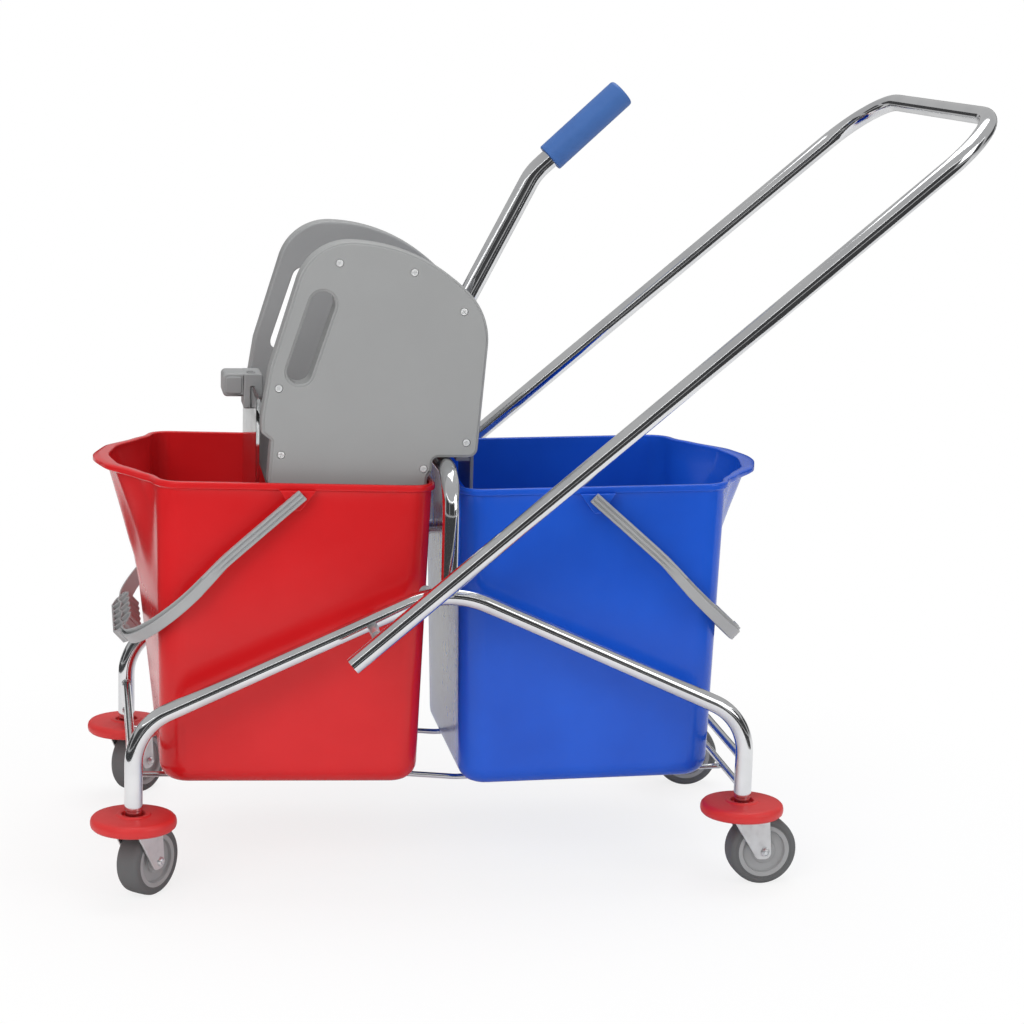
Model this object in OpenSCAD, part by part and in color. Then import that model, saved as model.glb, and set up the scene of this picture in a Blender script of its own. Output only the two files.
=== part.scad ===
// Double mop bucket trolley: a bent-tube frame on four bumper castors, two mirrored
// buckets with bails, a side-press wringer hooked on the centre arch and a push handle.
// Frame: X along the trolley, Y across it, Z up, origin on the floor midway between the legs.

/* [Buckets] */
// Height of a bucket from its underside to the top of its rim
bucket_h = 330; // [300:1:350]
// Length of a bucket at the rim, without the spout bead
bucket_len = 345; // [330:1:360]
// Length of a bucket's straight sides at the rim
bucket_side_len = 287; // [270:1:295]
// Width of a bucket across the rim bead
bucket_w = 322; // [310:1:340]
// Length of a bucket at its base
base_len = 276; // [260:1:285]
// Width of a bucket at its base
base_w = 288; // [270:1:300]
// Radius between the base and the walls
base_edge_r = 20; // [12:1:26]
// Radius of the base corners seen from above
base_corner_r = 30; // [28:1:45]
// Radius of the rim corners
rim_corner_r = 25; // [15:1:40]
// Radius of the pouring spout's tip
spout_tip_r = 57; // [40:1:70]
// How far the pouring spout stands out of the end wall
spout_reach = 22; // [12:1:28]
// Height of the pouring spout below the rim
spout_h = 112; // [80:1:140]
// Wall thickness of a bucket
bucket_wall = 3; // [2:0.1:4]
// Height of the rim bead
bead_h = 7; // [5:0.5:10]
// How far the rim bead stands out of the wall
bead_out = 3.5; // [2:0.1:5]
// Extra width of the rim bead at the spout
spout_bead = 9; // [4:0.5:12]
// Inset of the inner end wall at its foot
base_inset = 5.5; // [4:0.5:10]
// Tilt of both buckets, spout end up
tilt = 1.15; // [0:0.05:2]

/* [Bails] */
// Distance of the bail pivot from the inner end of the rim
pivot_u = 147.5; // [135:0.5:160]
// Depth of the bail pivot below the top of the rim
pivot_drop = 14.5; // [13:0.5:18]
// Half the top width of the bail ear
ear_half = 19; // [15:0.5:24]
// Height of the bail ear below the bead
ear_h = 21; // [18:0.5:26]
// How far the bail ear stands out past the bead
ear_out = 6; // [4:0.5:8]
// Diameter of the bail studs
stud_d = 8; // [6:0.5:9]
// Length of the bail studs in the ears
stud_len = 8; // [6:0.5:9]
// Clearance between the grip's finger ridges and the bucket's end wall
bail_room = 0.5; // [0.4:0.1:3]
// Radius of the bail's corners
bail_corner_r = 97; // [80:1:110]
// Straight length of the bail's lower arm between the flare and the corner
bail_foot_len = 18; // [12:1:24]
// Length of the flare from the upper to the lower arm
bail_flare = 22; // [16:1:26]
// Rise of the upper arm's lower end above the line through the pivot
bail_rise = 3.7; // [2:0.1:5]
// Drop of the lower arm's middle below the line through the pivot
bail_drop = 3.2; // [2:0.1:5]
// Width of the bail's narrow upper arm
bail_arm_w = 13.5; // [11:0.5:17]
// Width of the bail's lower arm
bail_foot_w = 20; // [16:0.5:26]
// Thickness of the bail's arms
bail_arm_t = 6.5; // [5:0.5:8]
// Depth of the bail's bar along the arm
bail_bar_w = 23; // [20:0.5:28]
// Thickness of the bail's bar
bail_bar_t = 17; // [14:0.5:18]
// Length of the hollow grip in the bail's bar
grip_len = 146; // [110:1:148]
// Wall thickness of the hollow grip
grip_wall = 2.5; // [2:0.1:4]
// Number of cells in the hollow grip
grip_cells = 8; // [4:1:12]
// How far the finger ridges stand out of the grip
ridge_out = 3.5; // [2:0.1:4.5]
// Number of finger ridges under the grip
finger_ridges = 5; // [3:1:7]
// Hang angle of the left bail below the horizontal
left_bail_angle = 44; // [36:0.5:46]
// Hang angle of the right bail below the horizontal
right_bail_angle = 44; // [36:0.5:46]

/* [Frame] */
// Outer diameter of the frame tubes
tube_d = 19; // [16:0.5:22]
// Wall thickness of the frame tubes
tube_wall = 1.5; // [1:0.1:2.5]
// Room between a bucket's rim bead and the centre line of the side rails
side_room = 24; // [22:0.5:40]
// Room between a bucket's foot and the leg centres
end_room = 26.9; // [20:0.1:50]
// Height of the rail's knee above the leg's lower end
knee_rise = 87; // [75:1:100]
// Bend radius of the rail's knee
knee_r = 60; // [40:1:70]
// Slope of the rails up to the apex
rail_slope = 24.19; // [22:0.01:27]
// Bend radius of the rail's apex
apex_r = 100; // [60:1:140]
// Diameter of the upper cross bars
upper_bar_d = 9; // [7:0.5:12]
// Height of the upper cross bars above the leg's lower end
upper_bar_rise = 39; // [34:0.5:44]
// Diameter of the lower cross bars
lower_bar_d = 7.5; // [6:0.5:10]
// Height of the lower cross bars above the leg's lower end
lower_bar_rise = 7; // [6:0.5:10]
// Diameter of the cradle rods under the buckets
rod_d = 6; // [5:0.5:8]
// Distance of the cradle rods from the middle
rod_y = 90; // [70:1:105]
// Step down of the cradle rods from the left bed to the right bed
bed_step = 4.4; // [3:0.1:8]
// Offset of the arch from the middle of the trolley
arch_x = 1.5; // [0:0.1:3]
// Bend radius of the arch
arch_r = 45; // [35:1:60]
// Height of the arch's centre line above the rim of the left bucket
arch_over_rim = 16; // [14:0.5:24]

/* [Push handle] */
// Slope of the push handle
handle_slope = 40.5; // [36:0.1:46]
// Distance of the handle's tubes from the side rails, centre to centre
handle_offset = 44; // [36:0.5:52]
// Distance from the middle to the point where the handle crosses the rail
handle_cross = 39.4; // [34:0.1:44]
// Length of the handle below that crossing
handle_below = 84.4; // [70:0.1:100]
// Length of the handle above that crossing
handle_above = 793; // [700:1:850]
// Bend radius of the handle's corners
handle_r = 80; // [50:1:100]
// Diameter of the handle's bolts
bolt_d = 6; // [5:0.5:8]
// Diameter of the handle's spacers and bolt heads
spacer_d = 14; // [12:0.5:16]
// Distance of the lower bolt from the crossing
bolt_low = 47; // [40:1:55]
// Distance of the upper bolt from the crossing
bolt_high = 20; // [15:1:28]

/* [Castors] */
// Diameter of the wheels
wheel_d = 75; // [65:1:85]
// Width of the wheels
wheel_w = 27; // [20:0.5:32]
// Depth of the rubber tyre
tyre_t = 9; // [6:0.5:12]
// Distance from the swivel axis to the wheel axle
trail = 23; // [20:0.5:28]
// Diameter of the axle
axle_d = 8; // [6:0.5:10]
// Thickness of the fork's steel
fork_t = 2.3; // [2:0.1:3]
// Diameter of the fork's crown
crown_d = 44; // [38:1:52]
// Diameter of the castor's stem
stem_d = 17; // [16.4:0.1:18]
// Diameter of the swivel pin
pin_d = 10; // [8:0.5:12]
// Length of the stem inside the leg
spigot_len = 35; // [25:1:45]
// Length of stem that shows between the bumper and the leg
stem_show = 8; // [5:0.5:12]
// Diameter of the bumper
bumper_d = 90; // [76:1:100]
// Thickness of the bumper
bumper_t = 11; // [8:0.5:14]
// Diameter of the bumper's collar
collar_d = 36; // [30:1:44]
// Height of the bumper's collar
collar_h = 1.6; // [1:0.1:3]
// Swivel of the near left castor
yaw_near_left = 50; // [0:1:360]
// Swivel of the near right castor
yaw_near_right = 4; // [0:1:360]
// Swivel of the far left castor
yaw_far_left = 51; // [0:1:360]
// Swivel of the far right castor
yaw_far_right = 354; // [0:1:360]

/* [Wringer] */
// Room between the wringer's covers and the bucket's rim bead on each side
wringer_room = 24; // [20:0.5:30]
// Depth of a side cover
cover_depth = 28; // [22:0.5:34]
// Wall thickness of a side cover
cover_wall = 3; // [2:0.1:4]
// Thickness of the wringer's side walls
cheek_t = 5; // [4:0.1:7]
// Height of the wringer's crest above the arch
crest_h = 236.3; // [220:1:250]
// Distance of the crest in front of the arch
crest_back = 105.5; // [98:0.5:112]
// Radius of the crest
crest_r = 180; // [170:1:190]
// Radius of the rear shoulder
shoulder_r = 72; // [64:1:80]
// Radius of the front shoulder
brow_r = 32; // [24:1:40]
// Lean of the wringer's rear edge
rear_lean = 4.4; // [2:0.1:7]
// Depth of the wringer below the arch
wringer_deep = 130; // [110:1:160]
// Reach of the wringer in front of the arch
front_reach = 194.5; // [188:0.5:200]
// Radius of the hand slot's ends
slot_r = 13; // [9:0.5:14]
// Diameter of the cover screws
screw_d = 4; // [3:0.5:5]
// Diameter of the cover screw heads
screw_head_d = 9; // [7:0.5:11]
// Diameter of the lever's shaft
shaft_d = 16; // [12:0.5:18]
// Height of the lever's shaft above the arch
shaft_h = 67; // [62:0.5:74]
// Distance of the lever's shaft in front of the arch
shaft_back = 11.5; // [9:0.5:16]
// Length of the press plate below the shaft
press_len = 150; // [130:1:160]
// Thickness of the press plate
press_t = 7; // [5:0.5:8]
// Hang angle of the press plate
press_lean = 20; // [16:0.5:24]
// Thickness of the front plate
front_t = 4; // [3:0.5:6]
// Height of the front plate above the arch
front_top = 68; // [56:1:76]
// Thickness of the rear hook
hook_t = 4; // [3:0.5:6]
// Depth of the rear hook below the arch
hook_deep = 45; // [38:0.5:48]
// Width of the rear hook's lip
hook_w = 90; // [60:1:120]
// Space between the right bucket's inner wall and the hook's lip
hook_gap = 21.5; // [20.5:0.1:21.8]
// Width of the clip on the front plate
clip_w = 46; // [30:1:60]

/* [Lever] */
// Outer diameter of the lever tube
lever_d = 21.5; // [18:0.5:24]
// Wall thickness of the lever tube
lever_wall = 1.5; // [1:0.1:2.5]
// Lean of the lever's lower part from the vertical
lever_lean = 27.1; // [24:0.1:32]
// Length of the lever's lower part from the shaft to the bend
lever_low = 262; // [240:1:290]
// Lean of the lever's grip from the vertical
grip_lean = 46.9; // [40:0.1:52]
// Bend radius of the lever
lever_r = 60; // [40:1:90]
// Length of bare tube between the bend's vertex and the grip
grip_start = 24; // [18:0.5:30]
// Length of the lever's grip
lever_grip_len = 110; // [90:1:130]
// Diameter of the lever's grip
lever_grip_d = 32; // [28:0.5:36]

/* [Clearances] */
// Running clearance of pins and shafts in their bores, on the radius
run_fit = 0.05; // [0.02:0.01:0.1]
// Clearance between pieces that move past each other
move_gap = 0.3; // [0.2:0.05:0.6]
// Clearance of bolts and screws in their holes, on the radius
hole_gap = 0.2; // [0.1:0.05:0.4]
// Clearance between the wheel's rim and the fork's crown
crown_gap = 1.2; // [0.8:0.1:2]
// Clearance between a bucket's rim and the arch tube
rim_gap = 1.5; // [1:0.1:3]

/* [Hidden] */

eps = 0.01;
cut = 2;
round_fn = 64;
hull_fn = 24;
fillet_n = 6;
sweep_sides = 24;
tube_r = tube_d / 2;

// Castor heights, from the floor up
axle_z = wheel_d / 2;
crown_z = wheel_d + crown_gap;
shoulder_z = crown_z + fork_t + move_gap;
bumper_z = shoulder_z;
leg_end_z = bumper_z + bumper_t + stem_show;
rivet_t = 2.4;
rivet_d = pin_d + 4;

// Frame places
leg_x = tube_r + rim_gap + base_inset + base_len + bucket_h * sin(tilt) + end_room;
leg_y = bucket_w / 2 + side_room;
knee_z = leg_end_z + knee_rise;
apex_z = knee_z + leg_x * tan(rail_slope);
upper_bar_z = leg_end_z + upper_bar_rise;
lower_bar_z = leg_end_z + lower_bar_rise;

// Bucket beds on the cradle rods: z of the rod centre lines at x = 0
bed_mid = lower_bar_z - leg_x * tan(tilt);
bed_left = bed_mid + bed_step / 2;
bed_right = bed_mid - bed_step / 2;
left_rim_x = tube_r + rim_gap - arch_x;
right_rim_x = tube_r + rim_gap + arch_x;
function rim_z(bed, rim_x) = bucket_h * cos(tilt) + bed
  + (rim_x + bucket_h * sin(tilt)) * tan(tilt) + (rod_d / 2 + move_gap) / cos(tilt);
left_rim_z = rim_z(bed_left, left_rim_x);
right_rim_z = rim_z(bed_right, right_rim_x);
arch_z = left_rim_z + arch_over_rim;

// Plan outline of a bucket's rim, grown outward by t
rim_half = bucket_w / 2 - bead_out;
end_skew = atan2(bucket_len - bucket_side_len, rim_half);

function unit(v) = v / norm(v);
function left_of(v) = [-v[1], v[0]];
function turn(a, b) = atan2(a[0] * b[1] - a[1] * b[0], a * b);
function pick(list, i) = list[(i + len(list)) % len(list)];

// Closed outline from corners [x, y, fillet radius]
function fillet_at(p, q, r_pt) =
  let (
    a = unit([q[0] - p[0], q[1] - p[1]]),
    b = unit([r_pt[0] - q[0], r_pt[1] - q[1]]),
    t = turn(a, b),
    back = q[2] * tan(abs(t) / 2),
    side = t > 0 ? 1 : -1,
    c = [q[0], q[1]] - back * a + side * q[2] * left_of(a),
    from = -side * left_of(a)
  )
  q[2] == 0 || abs(t) < eps ? [[q[0], q[1]]] :
  [for (i = [0 : fillet_n])
    let (f = t * i / fillet_n)
    c + q[2] * [from[0] * cos(f) - from[1] * sin(f), from[0] * sin(f) + from[1] * cos(f)]];
function rounded(corners) = [
  for (i = [0 : len(corners) - 1])
    each fillet_at(pick(corners, i - 1), corners[i], pick(corners, i + 1))
];
function arc(c, r, from, to, n) = [
  for (i = [0 : n])
    let (f = from + (to - from) * i / n)
    c + r * [sin(f), cos(f)]
];
function rim_outline(t, tip, tip_more) =
  let (
    half = rim_half + t,
    end_u = tip + t / cos(end_skew) + tip_more,
    side_u = bucket_side_len + t * tan(45 - end_skew / 2)
  )
  rounded([
    [bead_out - t, -half, max(rim_corner_r + t, 2)],
    [side_u, -half, max(rim_corner_r + t, 2)],
    [end_u, 0, spout_tip_r],
    [side_u, half, max(rim_corner_r + t, 2)],
    [bead_out - t, half, max(rim_corner_r + t, 2)]
  ]);

// Shape helpers
module along_y(y0, y1) {
  translate([0, y1, 0])
    rotate([90, 0, 0])
      linear_extrude(y1 - y0)
        children();
}

module y_cylinder(y0, y1, d) {
  translate([0, y1, 0])
    rotate([90, 0, 0])
      cylinder(h = y1 - y0, d = d, $fn = round_fn);
}

// Both sides of the trolley
module both_sides() {
  children();
  mirror([0, 1, 0])
    children();
}

// Round bar along X with left-hand bends: each step is [straight length, turn, bend radius]
module bent_bar(steps, d, over = 0, i = 0) {
  last = len(steps) - 1;
  from = i == 0 ? over : 0;
  to = i == last ? over : 0;
  length = steps[i][0];
  radius = steps[i][2];
  translate([-from, 0, 0])
    rotate([0, 90, 0])
      cylinder(h = length + from + to, d = d, $fn = round_fn);
  if (i < last)
    translate([length, radius, 0]) {
      rotate([0, 0, -90])
        rotate_extrude(angle = steps[i][1], $fn = round_fn)
          translate([radius, 0])
            circle(d = d, $fn = round_fn);
      rotate([0, 0, steps[i][1]])
        translate([0, -radius, 0])
          bent_bar(steps, d, over, i + 1);
    }
}

module bent_tube(steps, d, wall) {
  difference() {
    bent_bar(steps, d);
    bent_bar(steps, d - 2 * wall, cut);
  }
}

// Plane of a side view, with the bar starting at p in the direction a and bending to the right
module right_hand(p, a) {
  translate(p)
    rotate([0, 0, a])
      mirror([0, 1, 0])
        children();
}

// Centre line in a side view through corners [x, z, bend radius]
function bent_path(corners) =
  let (last = len(corners) - 1)
  [for (i = [0 : last])
    each i == 0 || i == last
      ? [[corners[i][0], corners[i][1]]]
      : fillet_at(corners[i - 1], corners[i], corners[i + 1])];

// Ring of points round the path's point i, square to the path there
function path_ring(path, i, d) =
  let (n = left_of(unit(path[min(i + 1, len(path) - 1)] - path[max(i - 1, 0)])))
  [for (k = [0 : sweep_sides - 1])
    let (f = 360 * k / sweep_sides, p = path[i] + n * sin(f) * d / 2)
    [p[0], cos(f) * d / 2, p[1]]];

// Side faces between ring i and the next one, with the rings' points from index at
function ring_faces(i, at, flip) = [
  for (k = [0 : sweep_sides - 1])
    let (
      m = (k + 1) % sweep_sides,
      p = at + i * sweep_sides,
      q = p + sweep_sides
    )
    each flip
      ? [[p + k, p + m, q + k], [p + m, q + m, q + k]]
      : [[p + k, q + k, p + m], [p + m, q + k, q + m]]
];

module swept_bar(path, d) {
  last = len(path) - 1;
  polyhedron(
    points = [for (i = [0 : last]) each path_ring(path, i, d)],
    faces = concat(
      [[for (k = [0 : sweep_sides - 1]) k]],
      [for (i = [0 : last - 1]) each ring_faces(i, 0, false)],
      [[for (k = [sweep_sides - 1 : -1 : 0]) last * sweep_sides + k]]
    ));
}

module swept_tube(path, d, wall) {
  last = len(path) - 1;
  n = sweep_sides;
  inner = n * (last + 1);
  polyhedron(
    points = concat(
      [for (i = [0 : last]) each path_ring(path, i, d)],
      [for (i = [0 : last]) each path_ring(path, i, d - 2 * wall)]
    ),
    faces = concat(
      [for (i = [0 : last - 1]) each ring_faces(i, 0, false)],
      [for (i = [0 : last - 1]) each ring_faces(i, inner, true)],
      [for (k = [0 : n - 1])
        let (m = (k + 1) % n)
        each [[k, m, inner + k], [m, inner + m, inner + k]]],
      [for (k = [0 : n - 1])
        let (m = (k + 1) % n, o = n * last)
        each [[o + k, inner + o + k, o + m], [o + m, inner + o + k, inner + o + m]]]
    ));
}

// Frame

rail_path = bent_path([
  [-leg_x, leg_end_z, 0],
  [-leg_x, knee_z, knee_r],
  [0, apex_z, apex_r],
  [leg_x, knee_z, knee_r],
  [leg_x, leg_end_z, 0]
]);

module rail_solid(side) {
  translate([0, side * leg_y, 0])
    swept_bar(rail_path, tube_d);
}

module rail(side) {
  color("gainsboro")
    difference() {
      translate([0, side * leg_y, 0])
        swept_tube(rail_path, tube_d, tube_wall);
      handle_bolt_holes(side);
    }
}

apex_mid_z = apex_z - apex_r * (1 / cos(rail_slope) - 1);
arch_foot_z = apex_mid_z + tube_r / 2;

arch_steps = [
  [arch_z - arch_foot_z - arch_r, 90, arch_r],
  [2 * leg_y - 2 * arch_r, 90, arch_r],
  [arch_z - arch_foot_z - arch_r, 0, 0]
];

module arch() {
  color("gainsboro")
    difference() {
      translate([arch_x, 0, 0])
        rotate([0, 0, 90])
          rotate([90, 0, 0])
            right_hand([-leg_y, arch_foot_z], 90)
              bent_tube(arch_steps, tube_d, tube_wall);
      both_sides()
        rail_solid(1);
    }
}

module cross_bar(end, z, d) {
  color("silver")
    difference() {
      translate([end * leg_x, 0, z])
        y_cylinder(-leg_y, leg_y, d);
      both_sides()
        translate([end * leg_x, leg_y, z - d])
          cylinder(h = 2 * d, d = tube_d, $fn = round_fn);
    }
}

// The cradle rods slope with the buckets and step down to the right bed between them
rod_step_x = base_inset + base_edge_r;
rod_pts = [
  [-leg_x, bed_left + leg_x * tan(tilt)],
  [-rod_step_x, bed_left + rod_step_x * tan(tilt)],
  [rod_step_x, bed_right + rod_step_x * tan(tilt)],
  [leg_x, bed_right + leg_x * tan(tilt)]
];
module cradle_rod(side) {
  color("silver")
    difference() {
      translate([0, side * rod_y, 0])
        swept_bar(rod_pts, rod_d);
      for (end = [-1, 1])
        translate([end * leg_x, 0, lower_bar_z])
          y_cylinder(-leg_y, leg_y, lower_bar_d);
    }
}

// Push handle: a U of tube bolted outside the side rails

handle_y = leg_y + handle_offset;
cross_z = apex_z - handle_cross * tan(rail_slope);
handle_len = handle_below + handle_above;

module handle_plane() {
  translate([-handle_cross, 0, cross_z])
    rotate([0, -handle_slope, 0])
      translate([-handle_below, 0, 0])
        children();
}

handle_steps = [
  [handle_len - handle_r, 90, handle_r],
  [2 * handle_y - 2 * handle_r, 90, handle_r],
  [handle_len - handle_r, 0, 0]
];

// A bolt sits midway between the rail's and the handle's centre lines
function bolt_at(s) = [
  -handle_cross + s * (cos(rail_slope) + cos(handle_slope)) / 2,
  cross_z + s * (sin(rail_slope) + sin(handle_slope)) / 2
];
bolt_points = [bolt_at(-bolt_low), bolt_at(bolt_high)];
head_t = 4;

module at_bolts(side) {
  for (p = bolt_points)
    translate([p[0], 0, p[1]])
      mirror([0, side > 0 ? 0 : 1, 0])
        children();
}

module handle_bolt_holes(side) {
  at_bolts(side)
    y_cylinder(leg_y - tube_d, handle_y, bolt_d + 2 * hole_gap);
}

module handle_solid() {
  handle_plane()
    translate([0, -handle_y, 0])
      bent_bar(handle_steps, tube_d);
}

module push_handle() {
  color("gainsboro")
    difference() {
      handle_plane()
        translate([0, -handle_y, 0])
          bent_tube(handle_steps, tube_d, tube_wall);
      for (side = [-1, 1])
        handle_bolt_holes(side);
    }
}

module handle_bolts() {
  color("silver")
    difference() {
      for (side = [-1, 1])
        at_bolts(side) {
          y_cylinder(leg_y - tube_r - head_t, handle_y - tube_wall, bolt_d);
          y_cylinder(leg_y - tube_r - head_t, leg_y - tube_r / 2, spacer_d);
          y_cylinder(leg_y + tube_r / 2, handle_y - tube_r / 2, spacer_d);
        }
      difference() {
        union() {
          both_sides()
            rail_solid(1);
          handle_solid();
        }
        for (side = [-1, 1])
          at_bolts(side)
            y_cylinder(leg_y - tube_d, handle_y, bolt_d);
      }
    }
}

// Castors: each is [x, y, swivel]

near_left = [-leg_x, -leg_y, yaw_near_left];
near_right = [leg_x, -leg_y, yaw_near_right];
far_left = [-leg_x, leg_y, yaw_far_left];
far_right = [leg_x, leg_y, yaw_far_right];
fork_side = wheel_w / 2 + 1.5;
fork_top = crown_z + fork_t;
axle_head_d = axle_d + 5;
axle_head_t = 3.5;
hub_d = wheel_d - 2 * tyre_t;
hub_boss_d = axle_d + 12;
hub_ring_in = hub_boss_d + 6;
hub_ring_out = hub_d - 10;
hub_ring_deep = 4;
tyre_round = 5;

module at_castor(c) {
  translate([c[0], c[1], 0])
    rotate([0, 0, c[2]])
      children();
}

module at_axle(c) {
  at_castor(c)
    translate([trail, 0, axle_z])
      children();
}

module stem(c) {
  color("silver")
    at_castor(c) {
      translate([0, 0, crown_z - move_gap - rivet_t])
        cylinder(h = rivet_t, d = rivet_d, $fn = round_fn);
      translate([0, 0, crown_z - move_gap])
        cylinder(h = shoulder_z - crown_z + move_gap, d = pin_d, $fn = round_fn);
      translate([0, 0, shoulder_z])
        cylinder(h = leg_end_z - shoulder_z, d = stem_d, $fn = round_fn);
      translate([0, 0, leg_end_z])
        cylinder(h = spigot_len, d = tube_d - 2 * tube_wall - 2 * hole_gap, $fn = round_fn);
    }
}

module bumper(c) {
  color("crimson")
    at_castor(c)
      translate([0, 0, bumper_z])
        difference() {
          union() {
            rotate_extrude($fn = round_fn) {
              square([bumper_d / 2 - bumper_t / 2, bumper_t]);
              intersection() {
                translate([bumper_d / 2 - bumper_t / 2, bumper_t / 2])
                  circle(d = bumper_t, $fn = round_fn);
                square([bumper_d, bumper_t]);
              }
            }
            cylinder(h = bumper_t + collar_h, d = collar_d, $fn = round_fn);
          }
          translate([0, 0, bumper_t - collar_h])
            cylinder(h = 2 * collar_h + cut, d = (collar_d + stem_d) / 2, $fn = round_fn);
          translate([0, 0, -cut])
            cylinder(h = bumper_t + 2 * cut, d = stem_d + 2 * run_fit, $fn = round_fn);
        }
}

fork_foot_r = 9;
fork_foot_half = 11;
fork_back = 15;
fork_lip = 8;

module fork(c) {
  color("darkgray")
    at_castor(c)
      difference() {
        union() {
          translate([0, 0, crown_z])
            cylinder(h = fork_t, d = crown_d, $fn = round_fn);
          translate([-fork_back, -fork_side - fork_t, crown_z])
            cube([trail + 2 * fork_back, 2 * fork_side + 2 * fork_t, fork_t]);
          both_sides()
            along_y(fork_side, fork_side + fork_t)
              polygon(rounded([
                [-fork_back, fork_top, 0],
                [trail + fork_back, fork_top, 0],
                [trail + fork_foot_half, axle_z - fork_foot_half, fork_foot_r],
                [trail - fork_foot_half, axle_z - fork_foot_half, fork_foot_r],
                [-fork_back, crown_z - fork_lip, 4]
              ]));
        }
        translate([0, 0, crown_z - cut])
          cylinder(h = fork_t + 2 * cut, d = pin_d + 2 * run_fit, $fn = round_fn);
        translate([trail, 0, axle_z])
          y_cylinder(-wheel_w, wheel_w, axle_d + 2 * run_fit);
      }
}

module axle(c) {
  color("dimgray")
    at_axle(c) {
      y_cylinder(-fork_side - fork_t - axle_head_t, fork_side + fork_t + axle_head_t, axle_d);
      both_sides()
        y_cylinder(fork_side + fork_t, fork_side + fork_t + axle_head_t, axle_head_d);
    }
}

module hub(c) {
  color("lightgray")
    at_axle(c)
      difference() {
        union() {
          y_cylinder(-wheel_w / 2, wheel_w / 2, hub_d);
          y_cylinder(-fork_side + move_gap, fork_side - move_gap, hub_boss_d);
        }
        both_sides()
          difference() {
            y_cylinder(wheel_w / 2 - hub_ring_deep, wheel_w / 2 + cut, hub_ring_out);
            y_cylinder(0, wheel_w, hub_ring_in);
          }
        y_cylinder(-wheel_w, wheel_w, axle_d + 2 * run_fit);
      }
}

module tyre(c) {
  color("dimgray")
    at_axle(c)
      rotate([90, 0, 0])
        rotate_extrude($fn = round_fn)
          polygon(rounded([
            [hub_d / 2, -wheel_w / 2, 0],
            [wheel_d / 2, -wheel_w / 2, tyre_round],
            [wheel_d / 2, wheel_w / 2, tyre_round],
            [hub_d / 2, wheel_w / 2, 0]
          ]));
}

// Buckets, in their own frame: x from the inner end of the rim, z from the underside

pivot_w = bucket_h - pivot_drop;
ear_face_y = bucket_w / 2 + ear_out;
ear_tip_half = 4;
ear_tip_r = 5;
foot_u = base_inset + base_len;
end_u = bucket_len - spout_reach;
spout_low_r = 8;
spout_low_w = bucket_h - spout_h;
spout_low_u = foot_u + (end_u - foot_u) * spout_low_w / bucket_h - spout_low_r;
spout_side_u = bucket_side_len + spout_low_r;
spout_half = (bucket_len - spout_side_u) / tan(end_skew);

module bed(x, z, way) {
  translate([x, 0, z])
    mirror([way > 0 ? 0 : 1, 0, 0])
      rotate([0, -tilt, 0])
        translate([0, 0, -bucket_h])
          children();
}

module on_left_bed() {
  bed(-left_rim_x, left_rim_z, -1)
    children();
}

module on_right_bed() {
  bed(right_rim_x, right_rim_z, 1)
    children();
}

// Tapered body inset by t, with its top slab between the heights z0 and z1
module bucket_body(t, z0, z1) {
  hull() {
    for (u = [base_inset + base_corner_r, foot_u - base_corner_r])
      for (v = [-1, 1])
        translate([u, v * (base_w / 2 - base_corner_r), base_edge_r])
          rotate_extrude($fn = hull_fn)
            intersection() {
              translate([base_corner_r - base_edge_r, 0])
                circle(r = base_edge_r - t, $fn = hull_fn);
              translate([0, -base_edge_r])
                square([base_corner_r, 2 * base_edge_r]);
            }
    translate([0, 0, z0])
      linear_extrude(z1 - z0)
        polygon(rim_outline(-t, end_u, 0));
  }
}

module bucket_spout(t, z0, z1) {
  hull() {
    translate([spout_low_u, 0, spout_low_w])
      sphere(r = spout_low_r - t, $fn = hull_fn);
    translate([0, 0, z0])
      linear_extrude(z1 - z0)
        polygon(rounded([
          [spout_side_u - t, -spout_half, 0],
          [bucket_len - t / cos(end_skew), 0, spout_tip_r],
          [spout_side_u - t, spout_half, 0]
        ]));
  }
}

module bucket_shape() {
  difference() {
    union() {
      bucket_body(0, bucket_h - bead_h, bucket_h - bead_h / 2);
      bucket_spout(0, bucket_h - bead_h, bucket_h - bead_h / 2);
      translate([0, 0, bucket_h - bead_h])
        linear_extrude(bead_h)
          polygon(rim_outline(bead_out, bucket_len, spout_bead));
      both_sides()
        along_y(rim_half - bead_out, ear_face_y)
          polygon(rounded([
            [pivot_u - ear_half, bucket_h - bead_h, 0],
            [pivot_u + ear_half, bucket_h - bead_h, 0],
            [pivot_u + ear_tip_half, bucket_h - bead_h - ear_h, ear_tip_r],
            [pivot_u - ear_tip_half, bucket_h - bead_h - ear_h, ear_tip_r]
          ]));
    }
    bucket_body(bucket_wall, bucket_h, bucket_h + cut);
    bucket_spout(bucket_wall, bucket_h, bucket_h + cut);
    both_sides()
      translate([pivot_u, 0, pivot_w])
        y_cylinder(ear_face_y - stud_len - move_gap, ear_face_y + cut, stud_d + 2 * run_fit);
  }
}

module bucket_left() {
  color("firebrick")
    on_left_bed()
      bucket_shape();
}

module bucket_right() {
  color("royalblue")
    on_right_bed()
      bucket_shape();
}

// Bails, in their own frame: x from the pivot along the arm

bail_y = ear_face_y + move_gap;
bail_mid_y = bail_y + bail_arm_t / 2;
bail_pad_w = 7;
bail_end_r = 2;
bail_edge_r = 4;
grip_drop = 1.5;
cell_pitch = (grip_len - grip_wall) / grip_cells;
ridge_r = 6;
ridge_pitch = grip_len / (finger_ridges + 1);

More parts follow.
